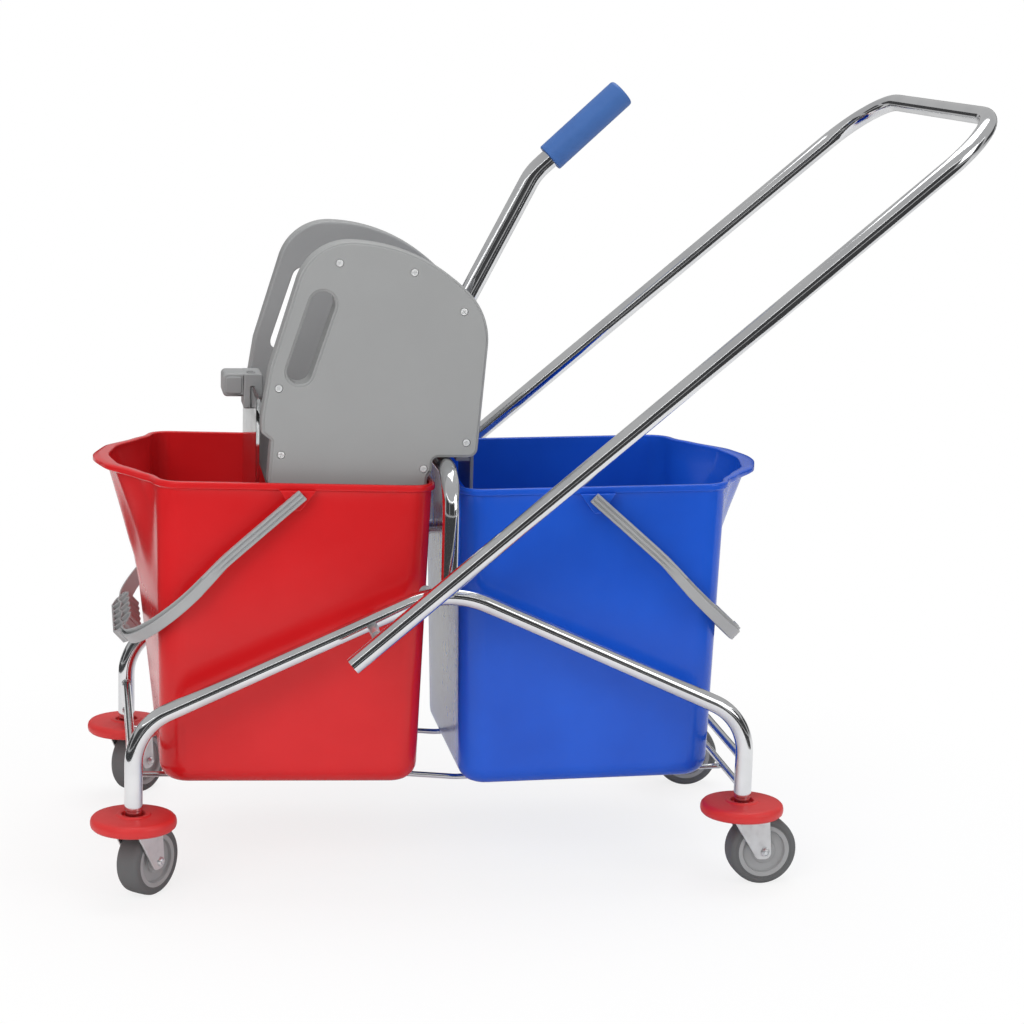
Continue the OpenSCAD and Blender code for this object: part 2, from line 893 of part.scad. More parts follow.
// The bail hangs until its finger ridges all but touch the end wall
hang = max(left_bail_angle, right_bail_angle);
grip_low = -grip_drop - bail_bar_t / 2;
wall_lean = (end_u - foot_u) / bucket_h;
ridge_tip = (bail_room - pivot_u - grip_low * sin(hang) + foot_u
  + wall_lean * (pivot_w + grip_low * cos(hang))) / (cos(hang) + wall_lean * sin(hang));
bail_reach = ridge_tip + ridge_out + bail_bar_w / 2;
bail_straight = bail_reach - bail_corner_r;
bail_bar_half = bail_mid_y - bail_corner_r;

// Section of the bail's lower half, standing on edge round the bend
module bail_section() {
  square([bail_arm_t, bail_foot_w], center = true);
}

// Hollow grip across the end of the bail, about the middle of its bar
module bail_grip() {
  difference() {
    union() {
      along_y(-grip_len / 2, grip_len / 2)
        polygon(rounded([
          [-bail_bar_w / 2, -bail_bar_t / 2, bail_edge_r],
          [bail_bar_w / 2, -bail_bar_t / 2, bail_edge_r],
          [bail_bar_w / 2, bail_bar_t / 2, bail_edge_r],
          [-bail_bar_w / 2, bail_bar_t / 2, bail_edge_r]
        ]));
      for (i = [0 : finger_ridges - 1])
        translate([ridge_r - ridge_out - bail_bar_w / 2, (i - (finger_ridges - 1) / 2) * ridge_pitch,
                   -bail_bar_t / 2])
          cylinder(h = bail_bar_t, r = ridge_r, $fn = round_fn);
    }
    for (i = [0 : grip_cells - 1])
      translate([-bail_bar_w / 2 + grip_wall, -grip_len / 2 + grip_wall + i * cell_pitch,
                 -bail_bar_t / 2 + grip_wall])
        cube([bail_bar_w - 2 * grip_wall, cell_pitch - grip_wall, 2 * bail_foot_w]);
  }
}

module bail_shape() {
  both_sides() {
    y_cylinder(ear_face_y - stud_len, bail_y + bail_arm_t, stud_d);
    translate([bail_straight, bail_bar_half, -bail_drop]) {
      along_y(bail_corner_r - bail_arm_t / 2, bail_corner_r + bail_arm_t / 2)
        polygon(rounded([
          [-bail_pad_w - bail_straight, bail_drop - bail_arm_w / 2, bail_end_r],
          [-bail_foot_len - bail_flare, bail_drop + bail_rise - bail_arm_w / 2, bail_flare],
          [-bail_foot_len, -bail_foot_w / 2, bail_flare],
          [0, -bail_foot_w / 2, 0],
          [0, bail_foot_w / 2, 0],
          [-bail_foot_len, bail_foot_w / 2, bail_flare],
          [-bail_foot_len - bail_flare, bail_drop + bail_rise + bail_arm_w / 2, bail_flare],
          [-bail_pad_w - bail_straight, bail_drop + bail_arm_w / 2, bail_end_r]
        ]));
      rotate_extrude(angle = 90, $fn = round_fn)
        translate([bail_corner_r, 0])
          bail_section();
      translate([bail_corner_r, 0, 0])
        along_y(grip_len / 2 - grip_wall - bail_bar_half, 0)
          bail_section();
    }
  }
  translate([bail_reach, 0, -grip_drop])
    bail_grip();
}

module at_bail(angle) {
  translate([pivot_u, 0, pivot_w])
    rotate([0, angle, 0])
      children();
}

module bail_left() {
  color("silver")
    on_left_bed()
      at_bail(left_bail_angle)
        bail_shape();
}

module bail_right() {
  color("silver")
    on_right_bed()
      at_bail(right_bail_angle)
        bail_shape();
}

// Wringer, in the frame of the arch: x and z from the arch tube's centre line

cover_y = bucket_w / 2 - wringer_room;
cheek_y = cover_y - cover_depth;
throat_y = cheek_y - cheek_t;
ledge_z = tube_r + move_gap;
notch_x = tube_r + 5;
rim_side = arch_x + left_rim_x + bead_out + bucket_wall + 2;
deep_side = rim_side + 5.5;
hook_x = tube_r + rim_gap + bead_out + bucket_wall + hook_gap;
brow_at = -6.5;
shoulder_at = 44.4;
front_lean = 17.7;
crest_c = [-crest_back, crest_h - crest_r];
brow_c = crest_c + (crest_r - brow_r) * [sin(brow_at), cos(brow_at)];
shoulder_c = crest_c + (crest_r - shoulder_r) * [sin(shoulder_at), cos(shoulder_at)];
rear_top = shoulder_c + shoulder_r * [sin(90 + rear_lean), cos(90 + rear_lean)];
rear_foot_x = rear_top[0] - (rear_top[1] - ledge_z) * tan(rear_lean);
beam_low = 36;
beam_high = 52;
beam_t = 8;
cover_low = 50;

function sharp(pts) = [for (p = pts) [p[0], p[1], 0]];
wringer_outline = rounded(concat(
  sharp(arc(brow_c, brow_r, front_lean - 90, brow_at, 8)),
  sharp(arc(crest_c, crest_r, brow_at + 5, shoulder_at - 5, 9)),
  sharp(arc(shoulder_c, shoulder_r, shoulder_at, 90 + rear_lean, 8)),
  [
    [rear_foot_x, ledge_z, 10],
    [-notch_x, ledge_z, 6],
    [-notch_x, -4, 2],
    [-rim_side, -12, 2],
    [-deep_side, -wringer_deep, 12],
    [-front_reach + 45, -wringer_deep, 20],
    [-front_reach + 7, -15, 4],
    [-front_reach + 10, beam_low - 8, 3],
    [-front_reach, beam_low, 3],
    [-front_reach, beam_high, 6],
    [-front_reach + 8, 103, 20]
  ]
));

slot_top = [-132.5, 174];
slot_foot = [-155.5, 102];
slot_lip = 3;
slot_turn = atan2(slot_top[0] - slot_foot[0], slot_top[1] - slot_foot[1]);
function slot_outline(grow) = concat(
  arc(slot_top, slot_r + grow, slot_turn - 90, slot_turn + 90, 12),
  arc(slot_foot, slot_r + grow, slot_turn + 90, slot_turn + 270, 12)
);

crest_screws = [[-3.6, 22], [24.6, 16.5], [48.2, 17.7]];
screw_points = concat(
  [for (c = crest_screws) crest_c + (crest_r - c[1]) * [sin(c[0]), cos(c[0])]],
  [[21, 26], [-24, -2], [17.5 - front_reach, 83], [20.5 - front_reach, 13]]
);
screw_head_t = 2.5;
boss_d = screw_head_d + 2;

module on_arch() {
  translate([arch_x, 0, arch_z])
    children();
}

module at_shaft() {
  on_arch()
    translate([-shaft_back, 0, shaft_h])
      children();
}

module at_screws() {
  both_sides()
    for (p = screw_points)
      translate([p[0], 0, p[1]])
        children();
}

floor_x = -front_reach + 55;
floor_t = 4;
drain_n = 5;
drain_w = 10;

module wringer_body() {
  color("gray")
    difference() {
      on_arch() {
        both_sides()
          along_y(throat_y, cheek_y)
            difference() {
              polygon(wringer_outline);
              polygon(slot_outline(0));
            }
        translate([-front_reach, -cheek_y, beam_low])
          cube([beam_t, 2 * cheek_y, beam_high - beam_low]);
        difference() {
          translate([floor_x, -cheek_y, -wringer_deep])
            cube([-floor_x - deep_side - drain_w, 2 * cheek_y, floor_t]);
          for (i = [0 : drain_n - 1])
            translate([floor_x + drain_w + i * 2 * drain_w, -throat_y + drain_w, -wringer_deep - cut])
              cube([drain_w / 2, 2 * throat_y - 2 * drain_w, floor_t + 2 * cut]);
        }
      }
      at_shaft()
        y_cylinder(-cover_y, cover_y, shaft_d + 2 * run_fit);
      on_arch()
        at_screws()
          y_cylinder(throat_y - cut, cheek_y + cut, screw_d + 2 * hole_gap);
    }
}

// Rear hook between the side walls: a ledge over the arch and a lip behind it
module rear_hook() {
  color("dimgray")
    on_arch() {
      translate([-notch_x, -throat_y, ledge_z])
        cube([notch_x + rear_foot_x - hook_t, 2 * throat_y, hook_t]);
      translate([-notch_x, -hook_w / 2, ledge_z])
        cube([notch_x + hook_x + hook_t, hook_w, hook_t]);
      translate([hook_x, -hook_w / 2, -hook_deep])
        cube([hook_t, hook_w, hook_deep + ledge_z + hook_t]);
    }
}

module cover_shape() {
  difference() {
    union() {
      along_y(cheek_y, cover_y)
        cover_outline(0);
    }
    difference() {
      along_y(cheek_y - cut, cover_y - cover_wall)
        cover_outline(cover_wall);
      along_y(cheek_y - 2 * cut, cover_y)
        polygon(slot_outline(slot_lip));
      for (p = screw_points)
        translate([p[0], 0, p[1]])
          y_cylinder(cheek_y - 2 * cut, cover_y, boss_d);
    }
    along_y(cheek_y - cut, cover_y + cut)
      polygon(slot_outline(0));
    for (p = screw_points)
      translate([p[0], 0, p[1]]) {
        y_cylinder(cheek_y - cut, cover_y + cut, screw_d + 2 * hole_gap);
        y_cylinder(cover_y - screw_head_t, cover_y + cut, screw_head_d + 2 * hole_gap);
      }
  }
}

module cover_outline(t) {
  intersection() {
    offset(delta = -t)
      polygon(wringer_outline);
    translate([-2 * front_reach, -cover_low + t])
      square([4 * front_reach, 2 * crest_h]);
  }
}

module cover_near() {
  color("darkgray")
    on_arch()
      mirror([0, 1, 0])
        cover_shape();
}

module cover_far() {
  color("darkgray")
    on_arch()
      cover_shape();
}

module cover_screws() {
  color("gainsboro")
    on_arch()
      at_screws() {
        y_cylinder(throat_y, cover_y - screw_head_t, screw_d);
        y_cylinder(cover_y - screw_head_t, cover_y, screw_head_d);
      }
}

// Clear front plate, seated on the body's front beam
plate_low = wringer_deep - 10;

module front_plate() {
  color("whitesmoke")
    on_arch()
      translate([-front_reach - front_t, -cheek_y, -plate_low])
        cube([front_t, 2 * cheek_y, plate_low + front_top]);
}

// Clip that rides on the top edge of the front plate
clip_front = 30;
clip_leg = 7.5;
clip_leg_hang = 24;
clip_back = 9;
clip_over = 14;
clip_hang = 13;
tab_hang = 11;

module clip() {
  color("dimgray")
    on_arch()
      along_y(-clip_w / 2, clip_w / 2)
        translate([-front_reach - front_t, front_top])
          difference() {
            polygon(rounded([
              [-clip_front, -tab_hang, 5],
              [-clip_leg, -tab_hang, 2],
              [-clip_leg, -clip_leg_hang, 2],
              [eps, -clip_leg_hang, 0],
              [eps, -clip_hang, 0],
              [front_t + clip_back, -clip_hang, 3],
              [front_t + clip_back, clip_over, 5],
              [-clip_front, clip_over, 5]
            ]));
            translate([0, -2 * clip_leg_hang])
              square([front_t, 2 * clip_leg_hang]);
          }
}

// Lever group on the shaft
shaft_collar_d = shaft_d + 8;
shaft_collar_t = 4;
lever_hub_d = shaft_d + 18;
lever_hub_half = 18;
press_hub_d = shaft_d + 12;
press_half = throat_y - 3;
press_inset = 2;
press_root = shaft_d / 2 + 3;
press_drain_n = 5;
press_drain_w = 14;

module lever_shaft() {
  color("silver")
    at_shaft() {
      y_cylinder(-cheek_y - 2 * shaft_collar_t, cheek_y + 2 * shaft_collar_t, shaft_d);
      both_sides()
        y_cylinder(cheek_y + move_gap, cheek_y + move_gap + shaft_collar_t, shaft_collar_d);
    }
}

module press_plate() {
  color("gray")
    at_shaft()
      difference() {
        union() {
          both_sides()
            y_cylinder(lever_hub_half + move_gap, press_half, press_hub_d);
          rotate([0, press_lean, 0])
            difference() {
              translate([-press_t / 2, -press_half + press_inset, -press_len])
                cube([press_t, 2 * (press_half - press_inset), press_len - press_root]);
              translate([-press_hub_d, -lever_hub_half - press_inset, -lever_hub_d])
                cube([2 * press_hub_d, 2 * (lever_hub_half + press_inset), lever_hub_d]);
              for (i = [0 : press_drain_n - 1])
                translate([-press_t, (i - (press_drain_n - 1) / 2) * 2.5 * press_drain_w - press_drain_w / 2,
                           -press_len + press_drain_w])
                  cube([2 * press_t, press_drain_w, press_len - lever_hub_d - 2 * press_drain_w]);
            }
        }
        y_cylinder(-cheek_y, cheek_y, shaft_d + 2 * run_fit);
      }
}

lever_bend = lever_low * [sin(lever_lean), cos(lever_lean)];
grip_way = [sin(grip_lean), cos(grip_lean)];
lever_foot = lever_hub_d / 2 - 3;
grip_end_t = 6;
lever_end = lever_bend + (grip_start + lever_grip_len - grip_end_t) * grip_way;
lever_path = bent_path([
  [lever_foot * sin(lever_lean), lever_foot * cos(lever_lean), 0],
  [lever_bend[0], lever_bend[1], lever_r],
  [lever_end[0], lever_end[1], 0]
]);

module lever() {
  color("gainsboro")
    at_shaft()
      difference() {
        union() {
          swept_tube(lever_path, lever_d, lever_wall);
          y_cylinder(-lever_hub_half, lever_hub_half, lever_hub_d);
        }
        y_cylinder(-cheek_y, cheek_y, shaft_d + 2 * run_fit);
      }
}

module lever_grip() {
  color("steelblue")
    at_shaft()
      translate([lever_bend[0], 0, lever_bend[1]])
        rotate([0, grip_lean, 0])
          translate([0, 0, grip_start])
            difference() {
              rotate_extrude($fn = round_fn)
                polygon(rounded([
                  [0, 0, 0],
                  [lever_grip_d / 2, 0, 4],
                  [lever_grip_d / 2, lever_grip_len, 8],
                  [0, lever_grip_len, 0]
                ]));
              translate([0, 0, -cut])
                cylinder(h = lever_grip_len - grip_end_t + cut, d = lever_d + 2 * run_fit, $fn = round_fn);
            }
}

rail(-1);  // rail_near
rail(1);  // rail_far
arch();
cross_bar(-1, upper_bar_z, upper_bar_d);  // upper_bar_left
cross_bar(1, upper_bar_z, upper_bar_d);  // upper_bar_right
cross_bar(-1, lower_bar_z, lower_bar_d);  // lower_bar_left
cross_bar(1, lower_bar_z, lower_bar_d);  // lower_bar_right
cradle_rod(-1);  // cradle_rod_near
cradle_rod(1);  // cradle_rod_far
push_handle();
handle_bolts();
stem(near_left);  // stem_near_left
stem(near_right);  // stem_near_right
stem(far_left);  // stem_far_left
stem(far_right);  // stem_far_right
bumper(near_left);  // bumper_near_left
bumper(near_right);  // bumper_near_right
bumper(far_left);  // bumper_far_left
bumper(far_right);  // bumper_far_right
fork(near_left);  // fork_near_left
fork(near_right);  // fork_near_right
fork(far_left);  // fork_far_left
fork(far_right);  // fork_far_right
axle(near_left);  // axle_near_left
axle(near_right);  // axle_near_right
axle(far_left);  // axle_far_left
axle(far_right);  // axle_far_right
hub(near_left);  // hub_near_left
hub(near_right);  // hub_near_right
hub(far_left);  // hub_far_left
hub(far_right);  // hub_far_right
tyre(near_left);  // tyre_near_left
tyre(near_right);  // tyre_near_right
tyre(far_left);  // tyre_far_left
tyre(far_right);  // tyre_far_right
bucket_left();
bucket_right();
bail_left();
bail_right();
wringer_body();
rear_hook();
cover_near();
cover_far();
cover_screws();
front_plate();
clip();
lever_shaft();
press_plate();
lever();
lever_grip();
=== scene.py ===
import math

import bmesh
import bpy
from mathutils import Matrix, Vector
from mathutils.geometry import tessellate_polygon


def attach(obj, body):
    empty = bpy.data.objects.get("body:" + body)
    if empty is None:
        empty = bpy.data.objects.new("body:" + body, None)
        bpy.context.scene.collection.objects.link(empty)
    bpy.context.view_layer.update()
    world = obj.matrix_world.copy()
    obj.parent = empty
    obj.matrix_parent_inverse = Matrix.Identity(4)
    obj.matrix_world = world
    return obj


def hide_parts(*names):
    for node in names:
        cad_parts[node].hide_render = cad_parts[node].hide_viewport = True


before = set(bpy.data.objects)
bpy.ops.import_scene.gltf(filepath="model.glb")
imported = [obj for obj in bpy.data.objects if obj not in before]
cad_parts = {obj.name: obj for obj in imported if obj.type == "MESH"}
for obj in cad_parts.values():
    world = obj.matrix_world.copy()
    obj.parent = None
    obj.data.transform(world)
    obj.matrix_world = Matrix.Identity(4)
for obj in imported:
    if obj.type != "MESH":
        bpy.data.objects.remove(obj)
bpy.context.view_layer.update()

# Double mop bucket trolley. Shapes are written in millimetres in the frame of the CAD model:
# X along the trolley, Y across it with the near side negative, Z up from the floor.
MM = 0.001


# Materials

def linear(code):
    """Linear RGBA of an sRGB hex colour."""
    parts = [int(code[i:i + 2], 16) / 255 for i in (1, 3, 5)]
    return [p / 12.92 if p <= 0.04045 else ((p + 0.055) / 1.055) ** 2.4 for p in parts] + [1.0]


def add(tree, kind, sockets=None, **settings):
    """Adds a node with its settings. A socket takes a value or another node's output."""
    made = tree.nodes.new(kind)
    for key, value in settings.items():
        setattr(made, key, value)
    for key, value in (sockets or {}).items():
        if isinstance(value, bpy.types.NodeSocket):
            tree.links.new(value, made.inputs[key])
        else:
            made.inputs[key].default_value = value
    return made


def per(size):
    """Texture scale for a pattern that repeats about every size millimetres."""
    return 1000 / size


# Spacing of the faint patterns, in millimetres
FLOW_CLOUD, SCUFF_MARK, PLATE_FILM, WIPE_MARK, SHEET_WIPE = 90, 14, 45, 6, 22


def bare_material(name, sockets):
    """A material with one shader, and the object's own coordinates to hang patterns on."""
    material = bpy.data.materials.new(name)
    material.use_nodes = True
    tree = material.node_tree
    tree.nodes.clear()
    shader = add(tree, "ShaderNodeBsdfPrincipled", sockets)
    add(tree, "ShaderNodeOutputMaterial", {"Surface": shader.outputs["BSDF"]})
    place = add(tree, "ShaderNodeTexCoord").outputs["Object"]
    return material, tree, shader, place


def moulded_plastic(name, light, dark, rough, grain, grain_depth, scuff=0.06, gloss=0.5):
    """Injection-moulded thermoplastic: flow clouds in the colour, the tool's grain and faint scuffs."""
    material, tree, shader, place = bare_material(name, {"IOR": 1.49, "Specular IOR Level": gloss})
    clouds = add(tree, "ShaderNodeTexNoise", {"Vector": place, "Scale": per(FLOW_CLOUD), "Detail": 3.0})
    colour = add(tree, "ShaderNodeValToRGB", {"Fac": clouds.outputs["Fac"]})
    colour.color_ramp.elements[0].position = 0.3
    colour.color_ramp.elements[0].color = linear(dark)
    colour.color_ramp.elements[1].position = 0.7
    colour.color_ramp.elements[1].color = linear(light)
    tree.links.new(colour.outputs["Color"], shader.inputs["Base Color"])
    marks = add(tree, "ShaderNodeTexNoise", {
        "Vector": place, "Scale": per(SCUFF_MARK), "Detail": 6.0, "Roughness": 0.65})
    sheen = add(tree, "ShaderNodeMapRange", {
        "Value": marks.outputs["Fac"], "From Min": 0.35, "From Max": 0.75,
        "To Min": rough, "To Max": rough + scuff})
    tree.links.new(sheen.outputs["Result"], shader.inputs["Roughness"])
    skin = add(tree, "ShaderNodeTexNoise", {"Vector": place, "Scale": per(grain), "Detail": 2.0})
    bump = add(tree, "ShaderNodeBump", {
        "Height": skin.outputs["Fac"], "Strength": 0.35, "Distance": grain_depth * MM})
    tree.links.new(bump.outputs["Normal"], shader.inputs["Normal"])
    return material


def bright_metal(name, colour, dull, rough, wave, wave_depth, metal=1.0):
    """Plated steel: mirror skin over slightly wavy stock, with a thin film of wiping marks."""
    material, tree, shader, place = bare_material(name, {"Metallic": metal})
    film = add(tree, "ShaderNodeTexNoise", {"Vector": place, "Scale": per(PLATE_FILM), "Detail": 4.0})
    tint = add(tree, "ShaderNodeValToRGB", {"Fac": film.outputs["Fac"]})
    tint.color_ramp.elements[0].position = 0.35
    tint.color_ramp.elements[0].color = linear(dull)
    tint.color_ramp.elements[1].position = 0.6
    tint.color_ramp.elements[1].color = linear(colour)
    tree.links.new(tint.outputs["Color"], shader.inputs["Base Color"])
    wipes = add(tree, "ShaderNodeTexNoise", {"Vector": place, "Scale": per(WIPE_MARK), "Detail": 5.0})
    sheen = add(tree, "ShaderNodeMapRange", {
        "Value": wipes.outputs["Fac"], "From Min": 0.4, "From Max": 0.8,
        "To Min": rough, "To Max": rough * 1.9})
    tree.links.new(sheen.outputs["Result"], shader.inputs["Roughness"])
    stock = add(tree, "ShaderNodeTexNoise", {"Vector": place, "Scale": per(wave), "Detail": 1.0})
    bump = add(tree, "ShaderNodeBump", {
        "Height": stock.outputs["Fac"], "Strength": 0.25, "Distance": wave_depth * MM})
    tree.links.new(bump.outputs["Normal"], shader.inputs["Normal"])
    return material


# Red and blue polypropylene, moulded in a polished tool: deep clean colour under a soft gloss
red_polypropylene = moulded_plastic(
    "red_polypropylene_polished_mould", "#D22024", "#CB1B1F", 0.17, 14, 0.012, 0.04, 0.34)
blue_polypropylene = moulded_plastic(
    "blue_polypropylene_polished_mould", "#1A57CC", "#174FC0", 0.17, 14, 0.012, 0.04, 0.34)
# Red thermoplastic rubber of the bumpers: softer sheen and a fine spark-eroded grain, drawn coarser to show
red_rubber = moulded_plastic("red_thermoplastic_rubber_moulded", "#D6302F", "#CB2728", 0.42, 1.2, 0.05)
# Grey ABS of the wringer and its covers, eroded tool: even satin with a sandy grain, drawn coarser to show
grey_abs = moulded_plastic("grey_abs_eroded_mould", "#98999A", "#929394", 0.46, 1.0, 0.06)
cover_abs = moulded_plastic("pale_grey_abs_eroded_mould", "#9A9B9B", "#969797", 0.42, 1.0, 0.05)
# Grey polypropylene of the bails and the clip: a touch waxy
bail_polypropylene = moulded_plastic(
    "grey_polypropylene_satin_mould", "#A6A7A8", "#9FA0A1", 0.38, 1.6, 0.04)
clip_polypropylene = moulded_plastic(
    "mid_grey_polypropylene_satin_mould", "#9B9C9D", "#949596", 0.38, 1.6, 0.04)
# Grey nylon of the wheel hubs: hard and smooth
hub_nylon = moulded_plastic("grey_nylon_moulded", "#A2A3A4", "#9A9B9C", 0.36, 2.0, 0.03)
# Grey non-marking rubber of the tyres: matt, dusted where it rolls
tyre_rubber = moulded_plastic("grey_rubber_vulcanised", "#666768", "#5C5D5E", 0.66, 1.4, 0.09, 0.12)
# Blue vinyl of the lever's grip, dip-moulded: rubbery satin
grip_vinyl = moulded_plastic("blue_vinyl_moulded", "#3B68AA", "#355FA0", 0.46, 1.1, 0.07)
# Chromium plate on drawn steel tube and rod: a mirror with the draw's faint lengthwise waves
chrome_tube = bright_metal("chromium_plate_on_drawn_tube", "#E3E4E5", "#D8D9DB", 0.07, 60, 0.012)
chrome_rod = bright_metal("chromium_plate_on_drawn_rod", "#DDDFE1", "#D1D3D5", 0.09, 40, 0.012)
# Weld beads under the same plate: rippled every 2 mm or so
chrome_weld = bright_metal("chromium_plate_on_weld", "#D2D4D6", "#BFC1C4", 0.14, 2.2, 0.25)
# Bright zinc plate on fasteners: bluish and slightly cloudy
zinc_plate = bright_metal("bright_zinc_plate", "#EDEFF0", "#DDE0E2", 0.34, 3, 0.02)
# Zinc on the cover screws, pale and milky, half metal to the eye: the paleness is a painted highlight for the
# light their domed heads catch
screw_zinc_painted_highlight = bright_metal("zinc_on_screws_paled_as_painted_highlight", "#F6F7F7", "#EAECED", 0.3, 3, 0.02, 0.4)
# Zinc plate on pressed sheet steel: satin, with the press's soft waves
zinc_sheet = bright_metal("zinc_plate_on_pressed_sheet", "#E2E3E3", "#D6D7D8", 0.38, 8, 0.03)
# Clear polycarbonate sheet of the front plate, extruded: water-clear, faintly grey, wiped dull in places
clear_polycarbonate, tree, shader, place = bare_material("clear_polycarbonate_extruded_sheet", {
    "Base Color": linear("#E4E7E8"), "IOR": 1.585, "Transmission Weight": 1.0})
wiping = add(tree, "ShaderNodeTexNoise", {"Vector": place, "Scale": per(SHEET_WIPE), "Detail": 5.0})
sheen = add(tree, "ShaderNodeMapRange", {
    "Value": wiping.outputs["Fac"], "From Min": 0.4, "From Max": 0.7, "To Min": 0.05, "To Max": 0.14})
tree.links.new(sheen.outputs["Result"], shader.inputs["Roughness"])


# Shapes: each is a list of points in millimetres and a list of faces

X, Y, Z = Vector((1, 0, 0)), Vector((0, 1, 0)), Vector((0, 0, 1))
TO_Y = Matrix.Rotation(math.radians(-90), 4, "X")  # turns the axis of a turned piece from Z to Y
LAY_FLAT = Matrix(((1, 0, 0, 0), (0, 0, 1, 0), (0, 1, 0, 0), (0, 0, 0, 1)))  # swaps Y and Z
STAND_ACROSS = Matrix(((0, 1, 0, 0), (1, 0, 0, 0), (0, 0, 1, 0), (0, 0, 0, 1)))  # swaps X and Y


def mixed(a, b, f):
    """The value at share f of the way from a to b."""
    return a + (b - a) * f


def fan(start, stop, steps):
    """Equal steps of turn between two angles in degrees, given in radians."""
    return [math.radians(mixed(start, stop, k / steps)) for k in range(steps + 1)]


def at(x, y, z):
    """Moves a shape from the origin to a place."""
    return Matrix.Translation((x, y, z))


def joined(*shapes):
    """Several shapes as one."""
    points, faces = [], []
    for some_points, some_faces in shapes:
        start = len(points)
        points += [Vector(p) for p in some_points]
        faces += [[start + i for i in face] for face in some_faces]
    return points, faces


def placed(shape, matrix):
    """The shape turned and moved by a matrix."""
    return [matrix @ Vector(p) for p in shape[0]], shape[1]


def across(shape):
    """The shape and its mirror image on the other side of the trolley."""
    return joined(shape, placed(shape, Matrix.Scale(-1, 4, Y)))


def bridged(rings, wrap=False):
    """Skin over rings of equal count. The last ring joins the first, or both ends are closed."""
    n, count = len(rings[0]), len(rings)
    faces = []
    for i in range(count if wrap else count - 1):
        a, b = i * n, (i + 1) % count * n
        faces += [[a + k, a + (k + 1) % n, b + (k + 1) % n, b + k] for k in range(n)]
    if not wrap:
        faces += [list(range(n)), [(count - 1) * n + k for k in range(n)]]
    return [p for ring in rings for p in ring], faces


def circle(r, n=40):
    """Flat ring of n points."""
    return [(r * math.cos(math.tau * k / n), r * math.sin(math.tau * k / n)) for k in range(n)]


def bend(corners, steps=12):
    """Centre line through corners (x, y, z, bend radius)."""
    path = []
    for i, (x, y, z, r) in enumerate(corners):
        p = Vector((x, y, z))
        if r == 0:
            path.append(p)
            continue
        a = (p - Vector(corners[i - 1][:3])).normalized()
        b = (Vector(corners[i + 1][:3]) - p).normalized()
        turn, axis = a.angle(b), a.cross(b).normalized()
        start = p - r * math.tan(turn / 2) * a
        centre = start + r * axis.cross(a)
        for s in range(steps + 1):
            path.append(centre + Matrix.Rotation(turn * s / steps, 3, axis) @ (start - centre))
    return path


def ring_at(path, i, outline, square_to, closed=False):
    """The outline set square across the path at its point i."""
    last = len(path) - 1
    ahead = path[(i + 1) % len(path)] if closed else path[min(i + 1, last)]
    behind = path[i - 1] if closed else path[max(i - 1, 0)]
    side = (ahead - behind).cross(square_to).normalized()
    top = side.cross(ahead - behind).normalized()
    return [path[i] + side * a + top * b for a, b in outline]


def bar(path, outline, square_to):
    """Solid bar of one section along a path."""
    return bridged([ring_at(path, i, outline, square_to) for i in range(len(path))])


def tube(path, d, wall, square_to, sides=40):
    """Round tube along a path, open at both ends."""
    outer = [ring_at(path, i, circle(d / 2, sides), square_to) for i in range(len(path))]
    inner = [ring_at(path, i, circle(d / 2 - wall, sides), square_to) for i in range(len(path))]
    return bridged(outer + inner[::-1], wrap=True)


def both_halves(half, middle=()):
    """Profile that is the same on both sides of its middle, from one half of it."""
    return half + list(middle) + [(r, -z) for r, z in reversed(half)]


def turned(profile, sides=64, wrap=False):
    """Revolves (radius, height) points about Z."""
    return bridged([[(a * r, b * r, z) for a, b in circle(1, sides)] for r, z in profile], wrap)


BEAD_STEPS, RIPPLE_DEPTH, RIPPLE_PITCH = 36, 0.14, 4.1


def saddle(r, big_r, bead, matrix):
    """Weld bead where a round bar along Z meets a tube along X."""
    path = []
    for k in range(BEAD_STEPS):
        a = math.tau * k / BEAD_STEPS
        path.append(Vector((r * math.cos(a), r * math.sin(a),
                            math.sqrt(max(big_r ** 2 - (r * math.sin(a)) ** 2, 0)))))
    rings = []
    for k in range(BEAD_STEPS):
        swell = bead * (1 + RIPPLE_DEPTH * math.sin(k * RIPPLE_PITCH))
        rings.append(ring_at(path, k, circle(swell, 10), Z, closed=True))
    return placed(bridged(rings, wrap=True), matrix)


STRAIGHT = 0.002  # a corner that turns less than this, in radians, gets no fillet
MITRE = 0.4  # keeps the inset of a sharp corner short


def rounded(corners, steps=6):
    """Closed flat outline through corners (x, z, fillet radius)."""
    outline = []
    for i, (x, z, r) in enumerate(corners):
        p = Vector((x, z))
        a = (p - Vector(corners[i - 1][:2])).normalized()
        b = (Vector(corners[(i + 1) % len(corners)][:2]) - p).normalized()
        turn = math.atan2(a.x * b.y - a.y * b.x, a.dot(b))
        if r == 0 or abs(turn) < STRAIGHT:
            outline.append(p)
            continue
        side = 1 if turn > 0 else -1
        start = p - r * math.tan(abs(turn) / 2) * a
        centre = start + side * r * Vector((-a.y, a.x))
        for s in range(steps + 1):
            outline.append(centre + Matrix.Rotation(turn * s / steps, 2) @ (start - centre))
    return outline


def inset(outline, d):
    """The outline moved inward by d, or outward where d is negative."""
    area = sum(p.x * q.y - p.y * q.x for p, q in zip(outline, outline[1:] + outline[:1]))
    if d == 0:
        return list(outline)
    moved = []
    for i, p in enumerate(outline):
        a = (p - outline[i - 1]).normalized()
        b = (outline[(i + 1) % len(outline)] - p).normalized()
        m, n = Vector((-a.y, a.x)), Vector((-b.y, b.x))
        reach = d if area > 0 else -d
        moved.append(p + (m + n) * reach / max(1 + m.dot(n), MITRE))
    return moved


